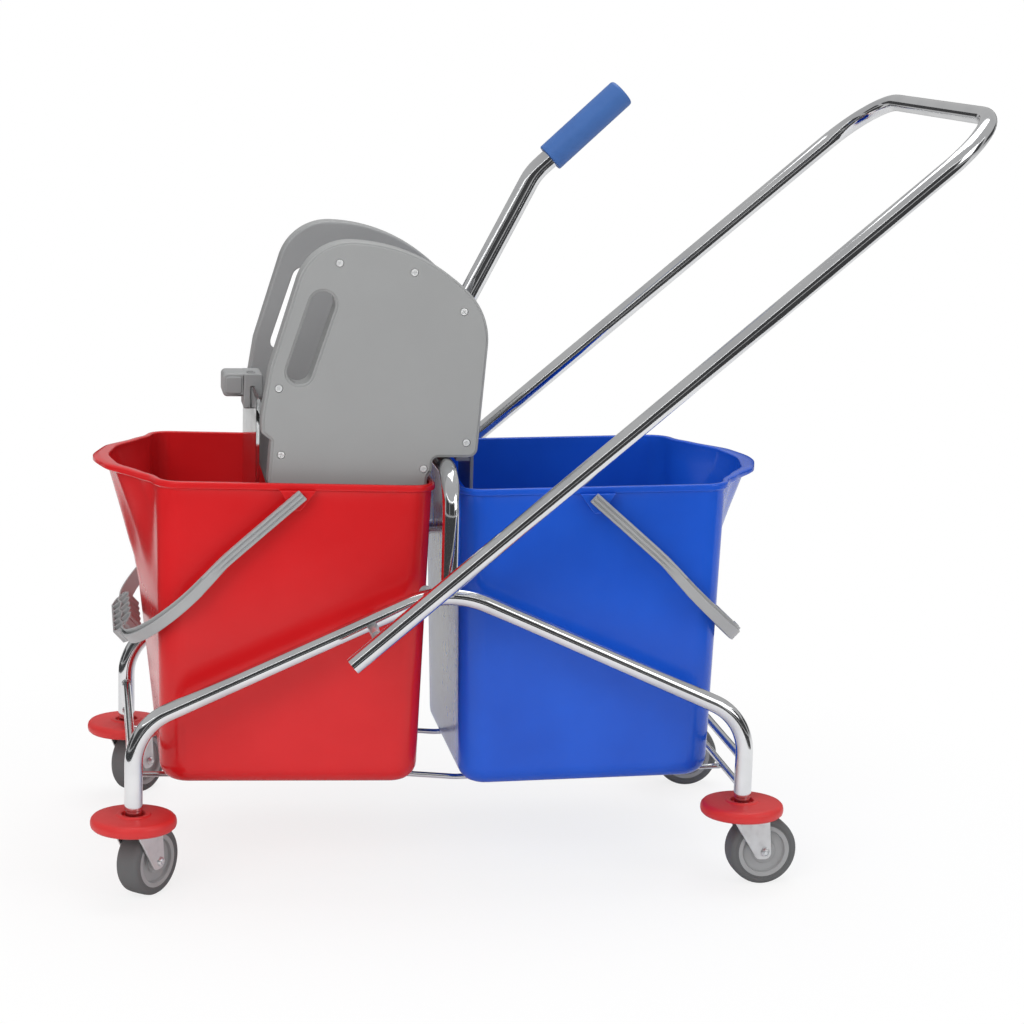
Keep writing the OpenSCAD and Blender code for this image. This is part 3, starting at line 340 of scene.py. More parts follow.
def slab(outline, y0, y1, edges=(0.6, 0.6), holes=(), steps=3):
    """Flat piece in the XZ plane from y0 to y1, its edges rounded at each face.

    A hole is (outline, edges).
    """
    points, faces, first, last = [], [], [], []
    for loop, way, (low, high) in [(outline, 1, edges)] + [(hole, -1, lips) for hole, lips in holes]:
        rings = []
        for s in range(steps + 1) if low else [steps]:
            a = math.pi / 2 * s / steps
            rings.append([Vector((p.x, y0 + low * (1 - math.cos(a)), p.y))
                          for p in inset(loop, way * low * (1 - math.sin(a)))])
        for s in range(steps, -1, -1) if high else [steps]:
            a = math.pi / 2 * s / steps
            rings.append([Vector((p.x, y1 - high * (1 - math.cos(a)), p.y))
                          for p in inset(loop, way * high * (1 - math.sin(a)))])
        start, n = len(points), len(loop)
        skin = bridged(rings)
        points += skin[0]
        faces += [[start + k for k in face] for face in skin[1][:-2]]
        first.append(list(range(start, start + n)))
        last.append(list(range(start + (len(rings) - 1) * n, start + len(rings) * n)))
    for loops in (first, last):
        flat = [k for loop in loops for k in loop]
        flat_points = [[Vector((points[k].x, points[k].z, 0)) for k in loop] for loop in loops]
        faces += [[flat[k] for k in face] for face in tessellate_polygon(flat_points)]
    return points, faces


SAME_POINT = 0.001  # points nearer than this, in millimetres, are one


def piece(name, shape, material, body, nodes=(), crease=40):
    """A finished piece in metres that rides on a body and stands for CAD nodes."""
    work = bmesh.new()
    corners = [work.verts.new(Vector(p) * MM) for p in shape[0]]
    for face in shape[1]:
        work.faces.new([corners[k] for k in face])
    bmesh.ops.remove_doubles(work, verts=work.verts, dist=SAME_POINT * MM)
    bmesh.ops.recalc_face_normals(work, faces=work.faces)
    mesh = bpy.data.meshes.new(name)
    work.to_mesh(mesh)
    work.free()
    mesh.materials.append(material)
    mesh.shade_smooth()
    mesh.set_sharp_from_angle(angle=math.radians(crease))
    made = bpy.data.objects.new(name, mesh)
    bpy.context.scene.collection.objects.link(made)
    made.modifiers.new("weighted_normals", "WEIGHTED_NORMAL").keep_sharp = True
    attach(made, body)
    if nodes:
        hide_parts(*nodes)
    return made


# Frame of bent tube, welded and chromed

LEG_X, LEG_Y = 326.02, 185.0
LEG_END, KNEE_Z, APEX_Z, APEX_MID = 97.8, 184.8, 331.25, 321.63
TUBE_D, TUBE_R, TUBE_WALL = 19.0, 9.5, 1.5
ARCH_X, ARCH_Z = 1.5, 450.01
KNEE_BEND, APEX_BEND, ARCH_BEND, BEND_STEPS = 60, 100, 45, 16
ARCH_FOOT = APEX_MID + 4
CROSS_BARS = {"upper": (9.0, 136.8), "lower": (7.5, 104.8)}  # diameter and height
ROD_Y, ROD_R, ROD_BEND = 90, 3, 60
ROD_WELD_Z = {-1: 106.3, 1: 102.6}
SIDES = {"near": -1, "far": 1}
ENDS = {"left": -1, "right": 1}

for side, s in SIDES.items():
    y = s * LEG_Y
    rail = bend([
        (-LEG_X, y, LEG_END, 0), (-LEG_X, y, KNEE_Z, KNEE_BEND), (0, y, APEX_Z, APEX_BEND),
        (LEG_X, y, KNEE_Z, KNEE_BEND), (LEG_X, y, LEG_END, 0)], BEND_STEPS)
    piece(f"side_rail_{side}", tube(rail, TUBE_D, TUBE_WALL, Y), chrome_tube, "frame",
          [f"rail_{side}"])

arch = bend([
    (ARCH_X, -LEG_Y, ARCH_FOOT, 0), (ARCH_X, -LEG_Y, ARCH_Z, ARCH_BEND),
    (ARCH_X, LEG_Y, ARCH_Z, ARCH_BEND), (ARCH_X, LEG_Y, ARCH_FOOT, 0)], BEND_STEPS)
piece("centre_arch", tube(arch, TUBE_D, TUBE_WALL, X), chrome_tube, "frame", ["arch"])

welds = [saddle(9.4, 9.6, 1.7, at(ARCH_X, s * LEG_Y, APEX_MID)) for s in (-1, 1)]
for end, e in ENDS.items():
    for height, (d, z) in CROSS_BARS.items():
        reach = LEG_Y - TUBE_R / 2
        path = [Vector((e * LEG_X, -reach, z)), Vector((e * LEG_X, reach, z))]
        piece(f"cross_bar_{height}_{end}", bar(path, circle(d / 2, 32), Z), chrome_rod, "frame",
              [f"{height}_bar_{end}"])
        for s in (-1, 1):
            lie = Matrix(((0, 1, 0, e * LEG_X), (0, 0, -s, s * LEG_Y), (1, 0, 0, z), (0, 0, 0, 1)))
            welds.append(saddle(d / 2, TUBE_R, 1.2, lie))

for side, s in SIDES.items():
    y = s * ROD_Y
    rod = bend([
        (-LEG_X + 2, y, 106.9, 0), (-25.5, y, 100.98, ROD_BEND), (25.5, y, 96.58, ROD_BEND),
        (LEG_X - 2, y, 102.5, 0)])
    piece(f"bed_rod_{side}", bar(rod, circle(ROD_R, 28), Y), chrome_rod, "frame",
          [f"cradle_rod_{side}"])
    for e, z in ROD_WELD_Z.items():
        spot = turned([(0, -3.2), (2.6, -2.4), (3.6, 0), (2.6, 2.4), (0, 3.2)], 20)
        welds.append(placed(spot, at(e * (LEG_X - 4.2), y, z)))
piece("frame_welds", joined(*welds), chrome_weld, "frame")

# Push handle, a U of the same tube outside the rails

SLOPE = math.radians(40.5)
UP_HANDLE = Vector((math.cos(SLOPE), 0, math.sin(SLOPE)))
HANDLE_Y, HANDLE_LENGTH, HANDLE_BEND = 229.0, 877.4, 80
BOLT_SPOTS = ((-78.7, 288.7), (-22.7, 324.1))
foot = Vector((-103.57, 0, 258.66))
top = foot + HANDLE_LENGTH * UP_HANDLE
handle = bend([
    (foot.x, -HANDLE_Y, foot.z, 0), (top.x, -HANDLE_Y, top.z, HANDLE_BEND),
    (top.x, HANDLE_Y, top.z, HANDLE_BEND), (foot.x, HANDLE_Y, foot.z, 0)], 18)
piece("push_handle_tube", tube(handle, TUBE_D, TUBE_WALL, UP_HANDLE.cross(Y), 48), chrome_tube, "frame",
      ["push_handle"])

# Bolts with hexagon heads, washers and a spacer sleeve between rail and handle
hexagon = [Vector(p) for p in circle(7.6, 6)]
bolts = []
for x, z in BOLT_SPOTS:
    parts = [
        placed(turned([(3, 172), (3, 227)], 24), TO_Y),
        placed(turned([
            (3.1, 193.6), (5, 193.6), (5.4, 194), (5.4, 220.3), (5, 220.8), (3.1, 220.8)], 36), TO_Y),
        placed(turned([(3.1, 174.6), (6.9, 174.6), (7, 175.4), (3.1, 175.4)], 36), TO_Y),
        slab(inset(hexagon, 0.9), 171.4, 174.8, (0.8, 0.2)),
    ]
    bolts.append(placed(joined(*parts), at(x, 0, z)))
piece("handle_bolt_set", across(joined(*bolts)), zinc_plate, "frame", ["handle_bolts"])


# Castors with bumpers

AXLE_Z, TRAIL, CROWN_Z, FORK_T = 37.5, 23.0, 76.2, 2.3
FORK_IN = 15.0
FORK_OUT = FORK_IN + FORK_T
BUMPER_Z = 78.8

stem_shape = turned([
    (0, 73.5), (6, 73.5), (7, 74.3), (7, 75.7), (5, 75.9), (5, 78.8), (8.5, 78.8), (8.5, 96.6),
    (8.1, 97), (8.1, 97.8), (7.8, 98), (7.8, 130), (7, 132.8), (0, 132.8)], 48)

bumper_shape = turned([(r, BUMPER_Z + h) for r, h in (
    (8.6, 0), (33, 0), (36, -1), (39.5, -1.6), (42.4, -0.9), (44.3, 1), (45, 3.6), (45, 6.4), (44.3, 9),
    (42.4, 11), (39, 12.1), (28, 12.6), (18.9, 12.8), (18.1, 13.1), (17.6, 13.8), (16.8, 14.2), (13.4, 14.2),
    (12.6, 13.8), (12.2, 12.8), (11.8, 10.4), (8.6, 10.2))], 80, wrap=True)

cheek = rounded([
    (-13, 78.5, 2), (27, 78.5, 2), (TRAIL + 8, AXLE_Z - 8.2, 7.2), (TRAIL - 8.6, AXLE_Z - 8.2, 7.2),
    (-13, CROWN_Z - 3, 3)])
axle_eye = [Vector((TRAIL + a, AXLE_Z + b)) for a, b in circle(4.05, 32)]
crown_plate = slab(
    rounded([(-13, -17.3, 3), (27, -17.3, 3), (27, 17.3, 3), (-13, 17.3, 3)]), 0, FORK_T, (0.5, 0.8))
fork_shape = joined(
    across(slab(cheek, FORK_IN, FORK_OUT, (0.4, 0.9), [(axle_eye, (0.2, 0.3))])),
    placed(crown_plate, at(0, 0, CROWN_Z) @ LAY_FLAT),
    turned([(5.1, CROWN_Z), (21, CROWN_Z), (21.8, CROWN_Z + 0.6), (21.8, CROWN_Z + 1.7),
            (21, CROWN_Z + FORK_T), (5.1, CROWN_Z + FORK_T)], 56, wrap=True))

bolt_head = [
    (0, 3.4), (2.2, 3.4), (2.4, 2.3), (2.7, 2.3), (2.9, 3.4), (3.8, 3.1), (4.5, 2.2), (4.9, 0.9), (5, 0),
    (4, 0)]
half_axle = turned([(r, FORK_OUT + h) for r, h in bolt_head] + [(4, 0)], 36)
axle_shape = across(placed(half_axle, TO_Y))

hub_shape = placed(turned(both_halves([
    (4.06, -14.7), (9.4, -14.7), (10, -14.2), (10, -13.2), (10.6, -12.4), (12.6, -12.2), (13, -11.6),
    (13, -9.6), (13.6, -9.2), (22.6, -9.2), (23.4, -9.8), (23.6, -12.8), (24.2, -13.4), (28.4, -13.5),
    (28.5, -12.5)]), 72, wrap=True), TO_Y)

tyre_shape = placed(turned(both_halves([
    (28.5, -13.5), (30.4, -13.5), (30.8, -13.1), (31.2, -13.5), (33.4, -13.4), (35.6, -12.4), (37, -10.4),
    (37.4, -7)], [(37.5, 0)]), 96, wrap=True), TO_Y)

YAWS = {"near_left": 50, "near_right": 4, "far_left": 51, "far_right": -6}
for corner, yaw in YAWS.items():
    side, end = corner.split("_")
    leg = at(ENDS[end] * LEG_X, SIDES[side] * LEG_Y, 0)
    swing = leg @ Matrix.Rotation(math.radians(yaw), 4, "Z")
    wheel = swing @ at(TRAIL, 0, AXLE_Z)
    piece(f"castor_stem_{corner}", placed(stem_shape, leg), chrome_rod, "frame",
          [f"stem_{corner}"])
    piece(f"castor_bumper_{corner}", placed(bumper_shape, leg), red_rubber, "frame",
          [f"bumper_{corner}"], 50)
    piece(f"castor_fork_{corner}", placed(fork_shape, swing), zinc_sheet, f"castor_{corner}",
          [f"fork_{corner}"])
    piece(f"castor_axle_{corner}", placed(axle_shape, wheel), zinc_plate, f"castor_{corner}",
          [f"axle_{corner}"])
    piece(f"wheel_hub_{corner}", placed(hub_shape, wheel), hub_nylon, f"wheel_{corner}",
          [f"hub_{corner}"], 50)
    piece(f"wheel_tyre_{corner}", placed(tyre_shape, wheel), tyre_rubber, f"wheel_{corner}",
          [f"tyre_{corner}"], 50)


# Buckets: u runs from the inner end of the rim to the spout, y across, w up from the underside

BUCKET_H, BEAD_FOOT, BASE_FILLET, WALL = 330.0, 323.0, 20.0, 3.0
TILT = Matrix.Rotation(math.radians(-1.15), 4, "Y")
BED = {
    "left": at(-9.5, 0, 434.01) @ Matrix.Scale(-1, 4, X) @ TILT @ at(0, 0, -BUCKET_H),
    "right": at(12.5, 0, 429.67) @ TILT @ at(0, 0, -BUCKET_H)}
PIVOT_U, PIVOT_W, EAR_FACE = 147.5, 315.5, 167.0
# Centres and radius of the wall's corners, at the base and under the bead
FOOT_IN, FOOT_OUT, FOOT_Y, FOOT_R = 35.5, 251.5, 114, 30
RIM_IN, RIM_OUT, RIM_Y, RIM_R = 28.5, 267.07, 132.5, 25
CORNER_STEPS, SIDE_STEPS, END_STEPS, FILLET_STEPS = 8, 10, 24, 6
FOOT_END = FOOT_OUT + FOOT_R
# End of the rim: half its width, where and how steeply it slants, and the rounded tip
END_Y, END_TURN, END_U, END_SLANT = 138.07, 12.87, 291.44, 0.2286
TIP_U, TIP_R, TIP_Y = 264.53, 57, 12.7
SIDE_HOLLOW, SIDE_MID, SIDE_HALF = 1.6, 150, 140
# Spout: a nose of two slanting faces, blended into the wall over a few millimetres
SPOUT_FOOT, SPOUT_RISE, SPOUT_BLEND = 218, 105, 6
SPOUT_FADE, SPOUT_SIDE = (190, 240), (104, 134)  # heights over which it starts, widths over which it ends
NOSE_U, NOSE_LEAN, NOSE_SLANT, NOSE_ROUND = 308.9, 41.5, 0.368, 25
SWELL, SWELL_Y, HALF_WAVE = 4.5, 55, 50  # the spout's end swells here and hollows half a wave further out
# Bead: how far out of the wall and how high each of its lines lies
BEAD_OUT = 3.5
BEAD = ((1.2, 322.6), (2.8, 323), (BEAD_OUT, 324.2), (BEAD_OUT, 327.8), (3, 329.3), (1.8, 330), (-1.4, 330),
        (-2.5, 329.5))
LIP_START, LIP_REACH, LIP_HALF = 267, 11.2, 150


def eased(value, low, high):
    """Rises smoothly from 0 at low to 1 at high."""
    f = min(max((value - low) / (high - low), 0), 1)
    return f * f * (3 - 2 * f)


def corner_arc(u, y, r, start, stop):
    """Rounded corner of the bucket's outline, its angles from the u axis."""
    return [Vector((u + r * math.cos(a), y + r * math.sin(a))) for a in fan(start, stop, CORNER_STEPS)]


def rim_end(y):
    """End of the rim without its spout: two slanting sides that meet in a rounded tip."""
    y = abs(y)
    return TIP_U + math.sqrt(TIP_R ** 2 - y * y) if y < TIP_Y else END_U + END_SLANT * (END_Y - y)


def wall_outline(w):
    """Outside of the wall at height w, the spout pressed out of its end and the sides slightly hollow."""
    f = (w - BASE_FILLET) / (BEAD_FOOT - BASE_FILLET)
    lift = min(max((w - SPOUT_FOOT) / SPOUT_RISE, 0), 1)
    foot = corner_arc(FOOT_IN, -FOOT_Y, FOOT_R, -180, -90) + corner_arc(FOOT_OUT, -FOOT_Y, FOOT_R, -90, 0)
    rim = corner_arc(RIM_IN, -RIM_Y, RIM_R, -180, -90) + corner_arc(RIM_OUT, -RIM_Y, RIM_R, -90, -END_TURN)
    near = [mixed(a, b, f) for a, b in zip(foot, rim)]
    inner, outer = near[:CORNER_STEPS + 1], near[CORNER_STEPS + 1:]
    side = [mixed(inner[-1], outer[0], k / SIDE_STEPS) for k in range(1, SIDE_STEPS)]
    for p in side:
        p.y += SIDE_HOLLOW * math.sin(math.pi * f) * (1 - ((p.x - SIDE_MID) / SIDE_HALF) ** 2)
    near = inner + side + outer
    end = []
    for k in range(1, 2 * END_STEPS):
        s = k / END_STEPS - 1
        y = mixed(s * FOOT_Y, s * END_Y, f)
        out = abs(y)
        flat = mixed(FOOT_END, rim_end(s * END_Y), f)
        ridge = math.sqrt(y * y + (NOSE_ROUND * lift + 1) ** 2)
        nose = NOSE_U + NOSE_LEAN * lift - NOSE_SLANT * ridge - flat
        push = 0.5 * (nose + math.sqrt(nose * nose + SPOUT_BLEND ** 2))
        push = push * eased(w, *SPOUT_FADE) * (1 - eased(out, *SPOUT_SIDE))
        if out < SWELL_Y:
            bow = SWELL * (out / SWELL_Y) ** 2
        else:
            wave = SWELL_Y + HALF_WAVE / 2 - min(out, SWELL_Y + 1.5 * HALF_WAVE)
            bow = SWELL * math.sin(math.pi * wave / HALF_WAVE)
        end.append(Vector((flat + push + bow * lift, y)))
    far = [Vector((p.x, -p.y)) for p in reversed(near)]
    back = [mixed(far[-1], near[0], k / SIDE_STEPS) for k in range(1, SIDE_STEPS)]
    return near + end + far + back


def level(outline, w):
    """The flat outline at height w."""
    return [Vector((p.x, p.y, w)) for p in outline]


# Pail from the middle of its underside: base fillet, wall, bead, then down inside to the floor
heights = [BASE_FILLET, 50, 90, 130, 165, 190] + list(range(200, 316, 9)) + [321.5]
base, inner_fillet = wall_outline(BASE_FILLET), BASE_FILLET - WALL
rings = []
for k in range(FILLET_STEPS + 1):
    a = math.pi / 2 * k / FILLET_STEPS
    rings.append(level(inset(base, BASE_FILLET * (1 - math.sin(a))), BASE_FILLET * (1 - math.cos(a))))
rings += [level(wall_outline(w), w) for w in heights[1:]]
for out, w in BEAD:
    lip = inset(wall_outline(BEAD_FOOT), -out)
    for p in lip:
        if p.x > LIP_START:  # the bead widens to a pouring lip
            share = math.cos(math.pi / 2 * min(abs(p.y) / LIP_HALF, 1)) ** 2
            p.x += LIP_REACH * share * max(out, 0) / BEAD_OUT
    rings.append(level(lip, w))
rings += [level(inset(wall_outline(min(w, BEAD_FOOT)), WALL), w) for w in [328.4] + heights[::-1]]
for k in range(FILLET_STEPS - 1, -1, -1):
    a = math.pi / 2 * k / FILLET_STEPS
    floor_line = inset(base, WALL + inner_fillet * (1 - math.sin(a)))
    rings.append(level(floor_line, BASE_FILLET - inner_fillet * math.cos(a)))
pail = bridged(rings)

stud_hole = [Vector((PIVOT_U + a, PIVOT_W + b)) for a, b in circle(4.05, 28)]
ear_edge = rounded([(128.5, 323.5, 0), (166.5, 323.5, 0), (151.5, 302, 5), (143.5, 302, 5)])
ear = slab(ear_edge, 155.4, EAR_FACE, (0, 1.4), [(stud_hole, (0, 0.3))])
bucket_shape = joined(pail, across(ear))

for end, plastic in (("left", red_polypropylene), ("right", blue_polypropylene)):
    piece(f"pail_{end}", placed(bucket_shape, BED[end]), plastic, f"bucket_{end}", [f"bucket_{end}"],
          50)

# Bails: s runs from the pivot along the arm, n up from it

ARM_Y, ARM_T = EAR_FACE + 0.3, 6.5
ARM_MID = ARM_Y + ARM_T / 2
BAR_S, BAR_R = 238.4, 97.0
BAIL_REST = math.radians(44)

# Upper arm, ribbed along its length
ribbed = both_halves([
    (-2.9, -6.7), (2.4, -6.7), (3.2, -6.1), (3.2, -4.1), (2.2, -3.6), (1.5, -2.9), (1.5, -2.2), (2.4, -1.6),
    (3.2, -1.1)])
upper_arm = bridged([
    [Vector((s, ARM_MID + a * thick, mid + b * wide)) for a, b in ribbed]
    for s, mid, thick, wide in (
        (-7, 0, 0.86, 0.82), (-6.4, 0, 0.97, 0.88), (-5.4, 0.05, 1, 0.91), (40, 1.5, 1, 0.91),
        (80, 2.7, 1, 0.91), (97, 3, 1, 0.9), (114, 2.6, 0.94, 0.86), (128, 2, 0.82, 0.8))])

# Lower arm: a channel open upward, which flares out of the upper arm and turns into the bar
channel = [
    (-3.25, -9.2), (-2.6, -10), (2.6, -10), (3.25, -9.2), (3.25, 9.2), (2.6, 10), (1.8, 10), (1.3, 9.4),
    (1.3, 0), (-1.3, 0), (-1.3, 5.4), (-1.8, 6), (-2.6, 6), (-3.25, 5.2)]
way = [Vector((s, ARM_MID, 0)) for s in range(90, 138, 4)]
way += bend([(139, ARM_MID, 0, 0), (BAR_S, ARM_MID, 0, BAR_R), (BAR_S, 70, 0, 0)], 22)
rings = []
for i, p in enumerate(way):
    flare, spread = eased(i, 0, 18), i / len(way)
    mid, wide, thick = mixed(3, -0.8, flare), mixed(0.58, 0.88, spread), mixed(0.4, 1, eased(i, 0, 10))
    outline = [(a * thick, b * wide) for a, b in channel]
    rings.append([q + mid * Z for q in ring_at(way, i, outline, Z)])
lower_arm = bridged(rings)

# Grip: floor, outer wall, a wavy web and a row of finger ridges, tied by cross ribs
RIDGE_PITCH, RIDGE_HALF, RIDGE_ROW = 24.33, 12.17, 60.8
RIDGE_S, RIDGE_RISE, RIDGE_R, RIDGE_STEP = 227.9, 3.3, 10.4, 1.52
GRIP_HALF = 72.5
web = [(-1.1, -9), (1.1, -9), (1.1, 6.5), (0.7, 7), (-0.7, 7), (-1.1, 6.5)]


def ridge_line(y):
    """Where the row of finger ridges lies at y."""
    off = abs((y + RIDGE_HALF) % RIDGE_PITCH - RIDGE_HALF) if abs(y) < RIDGE_ROW else RIDGE_R
    return RIDGE_S - RIDGE_RISE * math.sqrt(max(1 - (off / RIDGE_R) ** 2, 0))


floor_edge = [(237, 72.8), (243.5, 72.8), (249.9, 62), (249.9, -62), (243.5, -72.8), (237, -72.8)]
floor_edge += [(ridge_line(y) - 1.0, y) for y in (k * RIDGE_STEP - 69.92 for k in range(93))]
grip_parts = [placed(slab([Vector(p) for p in floor_edge], -10, -7.8, (0.7, 0.2)), LAY_FLAT)]
grip_lines = [
    [(239.5, 72), (243, 71.9), (248.8, 61.6), (248.8, -61.6), (243, -71.9), (239.5, -72)],
    [(239, 71.6), (232, 71), (228.4, 66)]
    + [(ridge_line(k * RIDGE_STEP - 63.84), 63.84 - k * RIDGE_STEP) for k in range(85)]
    + [(228.4, -66), (232, -71), (239, -71.6)],
    [(237.4 + 1.7 * math.sin(y / 7.75), y) for y in range(-71, 72, 2)]]
for k in range(-3, 4):
    y = RIDGE_PITCH * k
    grip_lines.append([(228.2, y + RIDGE_HALF), (237.4, y + RIDGE_HALF)])
    grip_lines.append([(237.2, y - 3), (248.6, y + 4)])
for line in grip_lines:
    if max(abs(y) for s, y in line) < GRIP_HALF:
        grip_parts.append(bar([Vector((s, y, 0)) for s, y in line], web, Z))
stud = placed(turned([(0, 159.2), (3.4, 159.2), (4, 159.8), (4, 168)], 28), TO_Y)
bail_shape = joined(*grip_parts, across(joined(upper_arm, lower_arm, stud)))

for end in ENDS:
    swing = BED[end] @ at(PIVOT_U, 0, PIVOT_W) @ Matrix.Rotation(BAIL_REST, 4, "Y")
    piece(f"bail_bow_{end}", placed(bail_shape, swing), bail_polypropylene, f"bail_{end}", [f"bail_{end}"],
          35)


# Wringer: x and z are measured from the centre line of the arch tube

WRINGER = at(ARCH_X, 0, ARCH_Z)
THROAT_Y, CHEEK_Y, COVER_Y = 104.0, 109.0, 137.0
CREST, CREST_R = Vector((-105.5, 56.3)), 180.0
CREST_SCREWS = ((-3.6, 22), (24.6, 16.5), (48.2, 17.7))  # degrees along the crest, depth under it
SCREW_R, HOLE_R, SHANK_R, SCREW_SINK = 4, 4.2, 2, 2.5
BEAM_FRONT, BEAM_BACK, BEAM_LOW, BEAM_HIGH = -194.5, -186.5, 36, 52
HOOK_START, LEDGE_Z = -14.5, 9.8
DRAIN_STARTS, DRAIN_WIDTH, DRAIN_HALF = (-129.5, -109.5, -89.5, -69.5, -49.5), 5, 94


def swung(centre, r, start, stop, steps):
    """Arc with its angles clockwise from straight up."""
    x, z = centre
    return [Vector((x + r * math.sin(a), z + r * math.cos(a))) for a in fan(start, stop, steps)]


top_edge = [(p.x, p.y, 0) for p in (
    swung((-102.95, 178.27), 58, -72.3, 1.2, 20) + swung(CREST, CREST_R, 3.5, 42, 22)
    + swung((-29.936, 133.462), 72, 44.4, 94.4, 16))]
notch = [(32.76, LEDGE_Z, 10), (HOOK_START, LEDGE_Z, 6), (HOOK_START, -4, 2), (-19.5, -12, 2)]
front_edge = [
    (-187.5, -15, 4), (-184.5, 28, 3), (BEAM_FRONT, BEAM_LOW, 3), (BEAM_FRONT, BEAM_HIGH, 6),
    (-186.5, 103, 20)]
cheek_edge = rounded(top_edge + notch + [(-25, -130, 12), (-149.5, -130, 20)] + front_edge)
cover_edge = rounded(top_edge + notch + [(-21.27, -50, 3), (-175.94, -50, 3)] + front_edge)
hand_slot = swung((-132.2, 171.2), 13, -71.8, 108.2, 16) + swung((-155.5, 100.5), 13, 108.2, 288.2, 16)

screw_spots = [CREST + (CREST_R - d) * Vector((math.sin(math.radians(a)), math.cos(math.radians(a))))
               for a, d in CREST_SCREWS]
screw_spots += [Vector(p) for p in ((21, 26), (-24, -2), (-177, 83), (-174, 13))]


def around(spot, r, n=28):
    """Flat ring of n points about a spot."""
    return [spot + Vector(p) for p in circle(r, n)]


# Body: two side walls with rounded inner edges, the front beam and a slotted floor
side_wall = slab(cheek_edge, THROAT_Y, CHEEK_Y, (2.6, 0), [(hand_slot, (1.4, 0))])
beam_edge = rounded([
    (BEAM_FRONT, BEAM_LOW, 2), (BEAM_BACK, BEAM_LOW, 2), (BEAM_BACK, BEAM_HIGH, 2),
    (BEAM_FRONT, BEAM_HIGH, 2)])
beam = slab(beam_edge, -THROAT_Y, THROAT_Y, (0, 0))


def oblong(x0, x1, half):
    """Flat oblong from x0 to x1 that reaches half to each side."""
    return [Vector(p) for p in ((x0, -half), (x1, -half), (x1, half), (x0, half))]


drains = [(oblong(x, x + DRAIN_WIDTH, DRAIN_HALF), (0.8, 0.8)) for x in DRAIN_STARTS]
grate = slab(oblong(-139.5, -35, THROAT_Y), -130, -126, (0, 0), drains)
shell = joined(across(side_wall), beam, placed(grate, LAY_FLAT))
piece("wringer_shell", placed(shell, WRINGER), grey_abs, "wringer", ["wringer_body"])

# Rear hook: ledge over the arch, a ribbed shelf under it and the lip that hangs behind
hook_edge = rounded([
    (HOOK_START, LEDGE_Z, 0.5), (39, LEDGE_Z, 1), (39, -45, 0.5), (43, -45, 1.5), (43, 13.8, 2),
    (HOOK_START, 13.8, 0.5)])
hook = slab(hook_edge, -45, 45, (1, 1))
ledge_edge = rounded([(HOOK_START, 9.9, 0.5), (28.7, 9.9, 1), (28.7, 13.7, 1.5), (HOOK_START, 13.7, 0.5)])
ledge = slab(ledge_edge, -THROAT_Y, THROAT_Y, (0, 0))
rib = slab(rounded([(24, 10, 0), (24, -8, 1), (39.2, -8, 0), (39.2, 10, 0)]), -1.5, 1.5, (0.5, 0.5))
ribs = [placed(rib, at(0, y, 0)) for y in (-30, 0, 30)]
shelf_edge = rounded([(23.6, -10, 1), (39.2, -10, 0), (39.2, -6, 0), (23.6, -6, 1)])
ribs.append(slab(shelf_edge, -44, 44, (0.6, 0.6)))
piece("wringer_hook", placed(joined(hook, ledge, *ribs), WRINGER), grey_abs, "wringer",
      ["rear_hook"])

# Side covers: a rounded body, a face raised inside the rim and round the hand slot, sunk screw holes
RIM_W, FACE_RISE = 2.6, 1.6
BODY_Y = COVER_Y - FACE_RISE
screw_holes = [(around(p, HOLE_R), (0, 0.4)) for p in screw_spots]
cover_body = slab(cover_edge, CHEEK_Y, BODY_Y, (0.6, 2.4), [(hand_slot, (0, 2.4))] + screw_holes, 4)
face_holes = [(inset(hand_slot, -RIM_W), (0, 1))] + screw_holes
cover_face = slab(inset(cover_edge, RIM_W), BODY_Y - 0.4, COVER_Y, (0, 1), face_holes)
cover = joined(cover_body, cover_face)

# Cover screws: a domed head with a cross recess, the recess's floor and the shank, each at its own turn
cross = [Vector(p) for p in (
    (0.55, 0.55), (0.5, 2.3), (-0.5, 2.3), (-0.55, 0.55), (-2.3, 0.5), (-2.3, -0.5), (-0.55, -0.55),
    (-0.5, -2.3), (0.5, -2.3), (0.55, -0.55), (2.3, -0.5), (2.3, 0.5))]
head_y = COVER_Y - SCREW_SINK
dome = slab(around(Vector((0, 0)), SCREW_R), head_y, COVER_Y - 0.1, (0, 1.5), [(cross, (0, 0.15))], 4)
recess_floor = turned([(0, COVER_Y - 2.6), (3, COVER_Y - 2.6), (3, COVER_Y - 1.6), (0, COVER_Y - 1.6)], 20)
shank = turned([(0, THROAT_Y + 0.2), (1.5, THROAT_Y + 0.2), (SHANK_R, THROAT_Y + 1), (SHANK_R, head_y)], 20)
screw = joined(dome, placed(recess_floor, TO_Y), placed(shank, TO_Y))
screws = joined(*[placed(screw, at(p.x, 0, p.y) @ Matrix.Rotation(0.5 + k, 4, "Y"))
                  for k, p in enumerate(screw_spots)])
for side, s in SIDES.items():
    flip = WRINGER if s > 0 else WRINGER @ Matrix.Scale(-1, 4, Y)
    piece(f"wringer_cover_{side}", placed(cover, flip), cover_abs, "wringer",
          [f"cover_{side}"], 50)
# The screws' pale zinc is a painted highlight
piece("cover_screw_set", placed(across(screws), WRINGER), screw_zinc_painted_highlight, "wringer",
      ["cover_screws"])

# Clear sheet across the front
SHEET_FRONT, SHEET_FOOT, SHEET_TOP = -198.5, -120, 68
sheet_edge = rounded([
    (SHEET_FRONT, SHEET_FOOT, 0.5), (BEAM_FRONT, SHEET_FOOT, 0.5), (BEAM_FRONT, SHEET_TOP, 0.8),
    (SHEET_FRONT, SHEET_TOP, 0.8)], 3)
sheet = slab(sheet_edge, -CHEEK_Y, CHEEK_Y, (0.5, 0.5))
piece("clear_front_sheet", placed(sheet, WRINGER), clear_polycarbonate, "wringer",
      ["front_plate"])

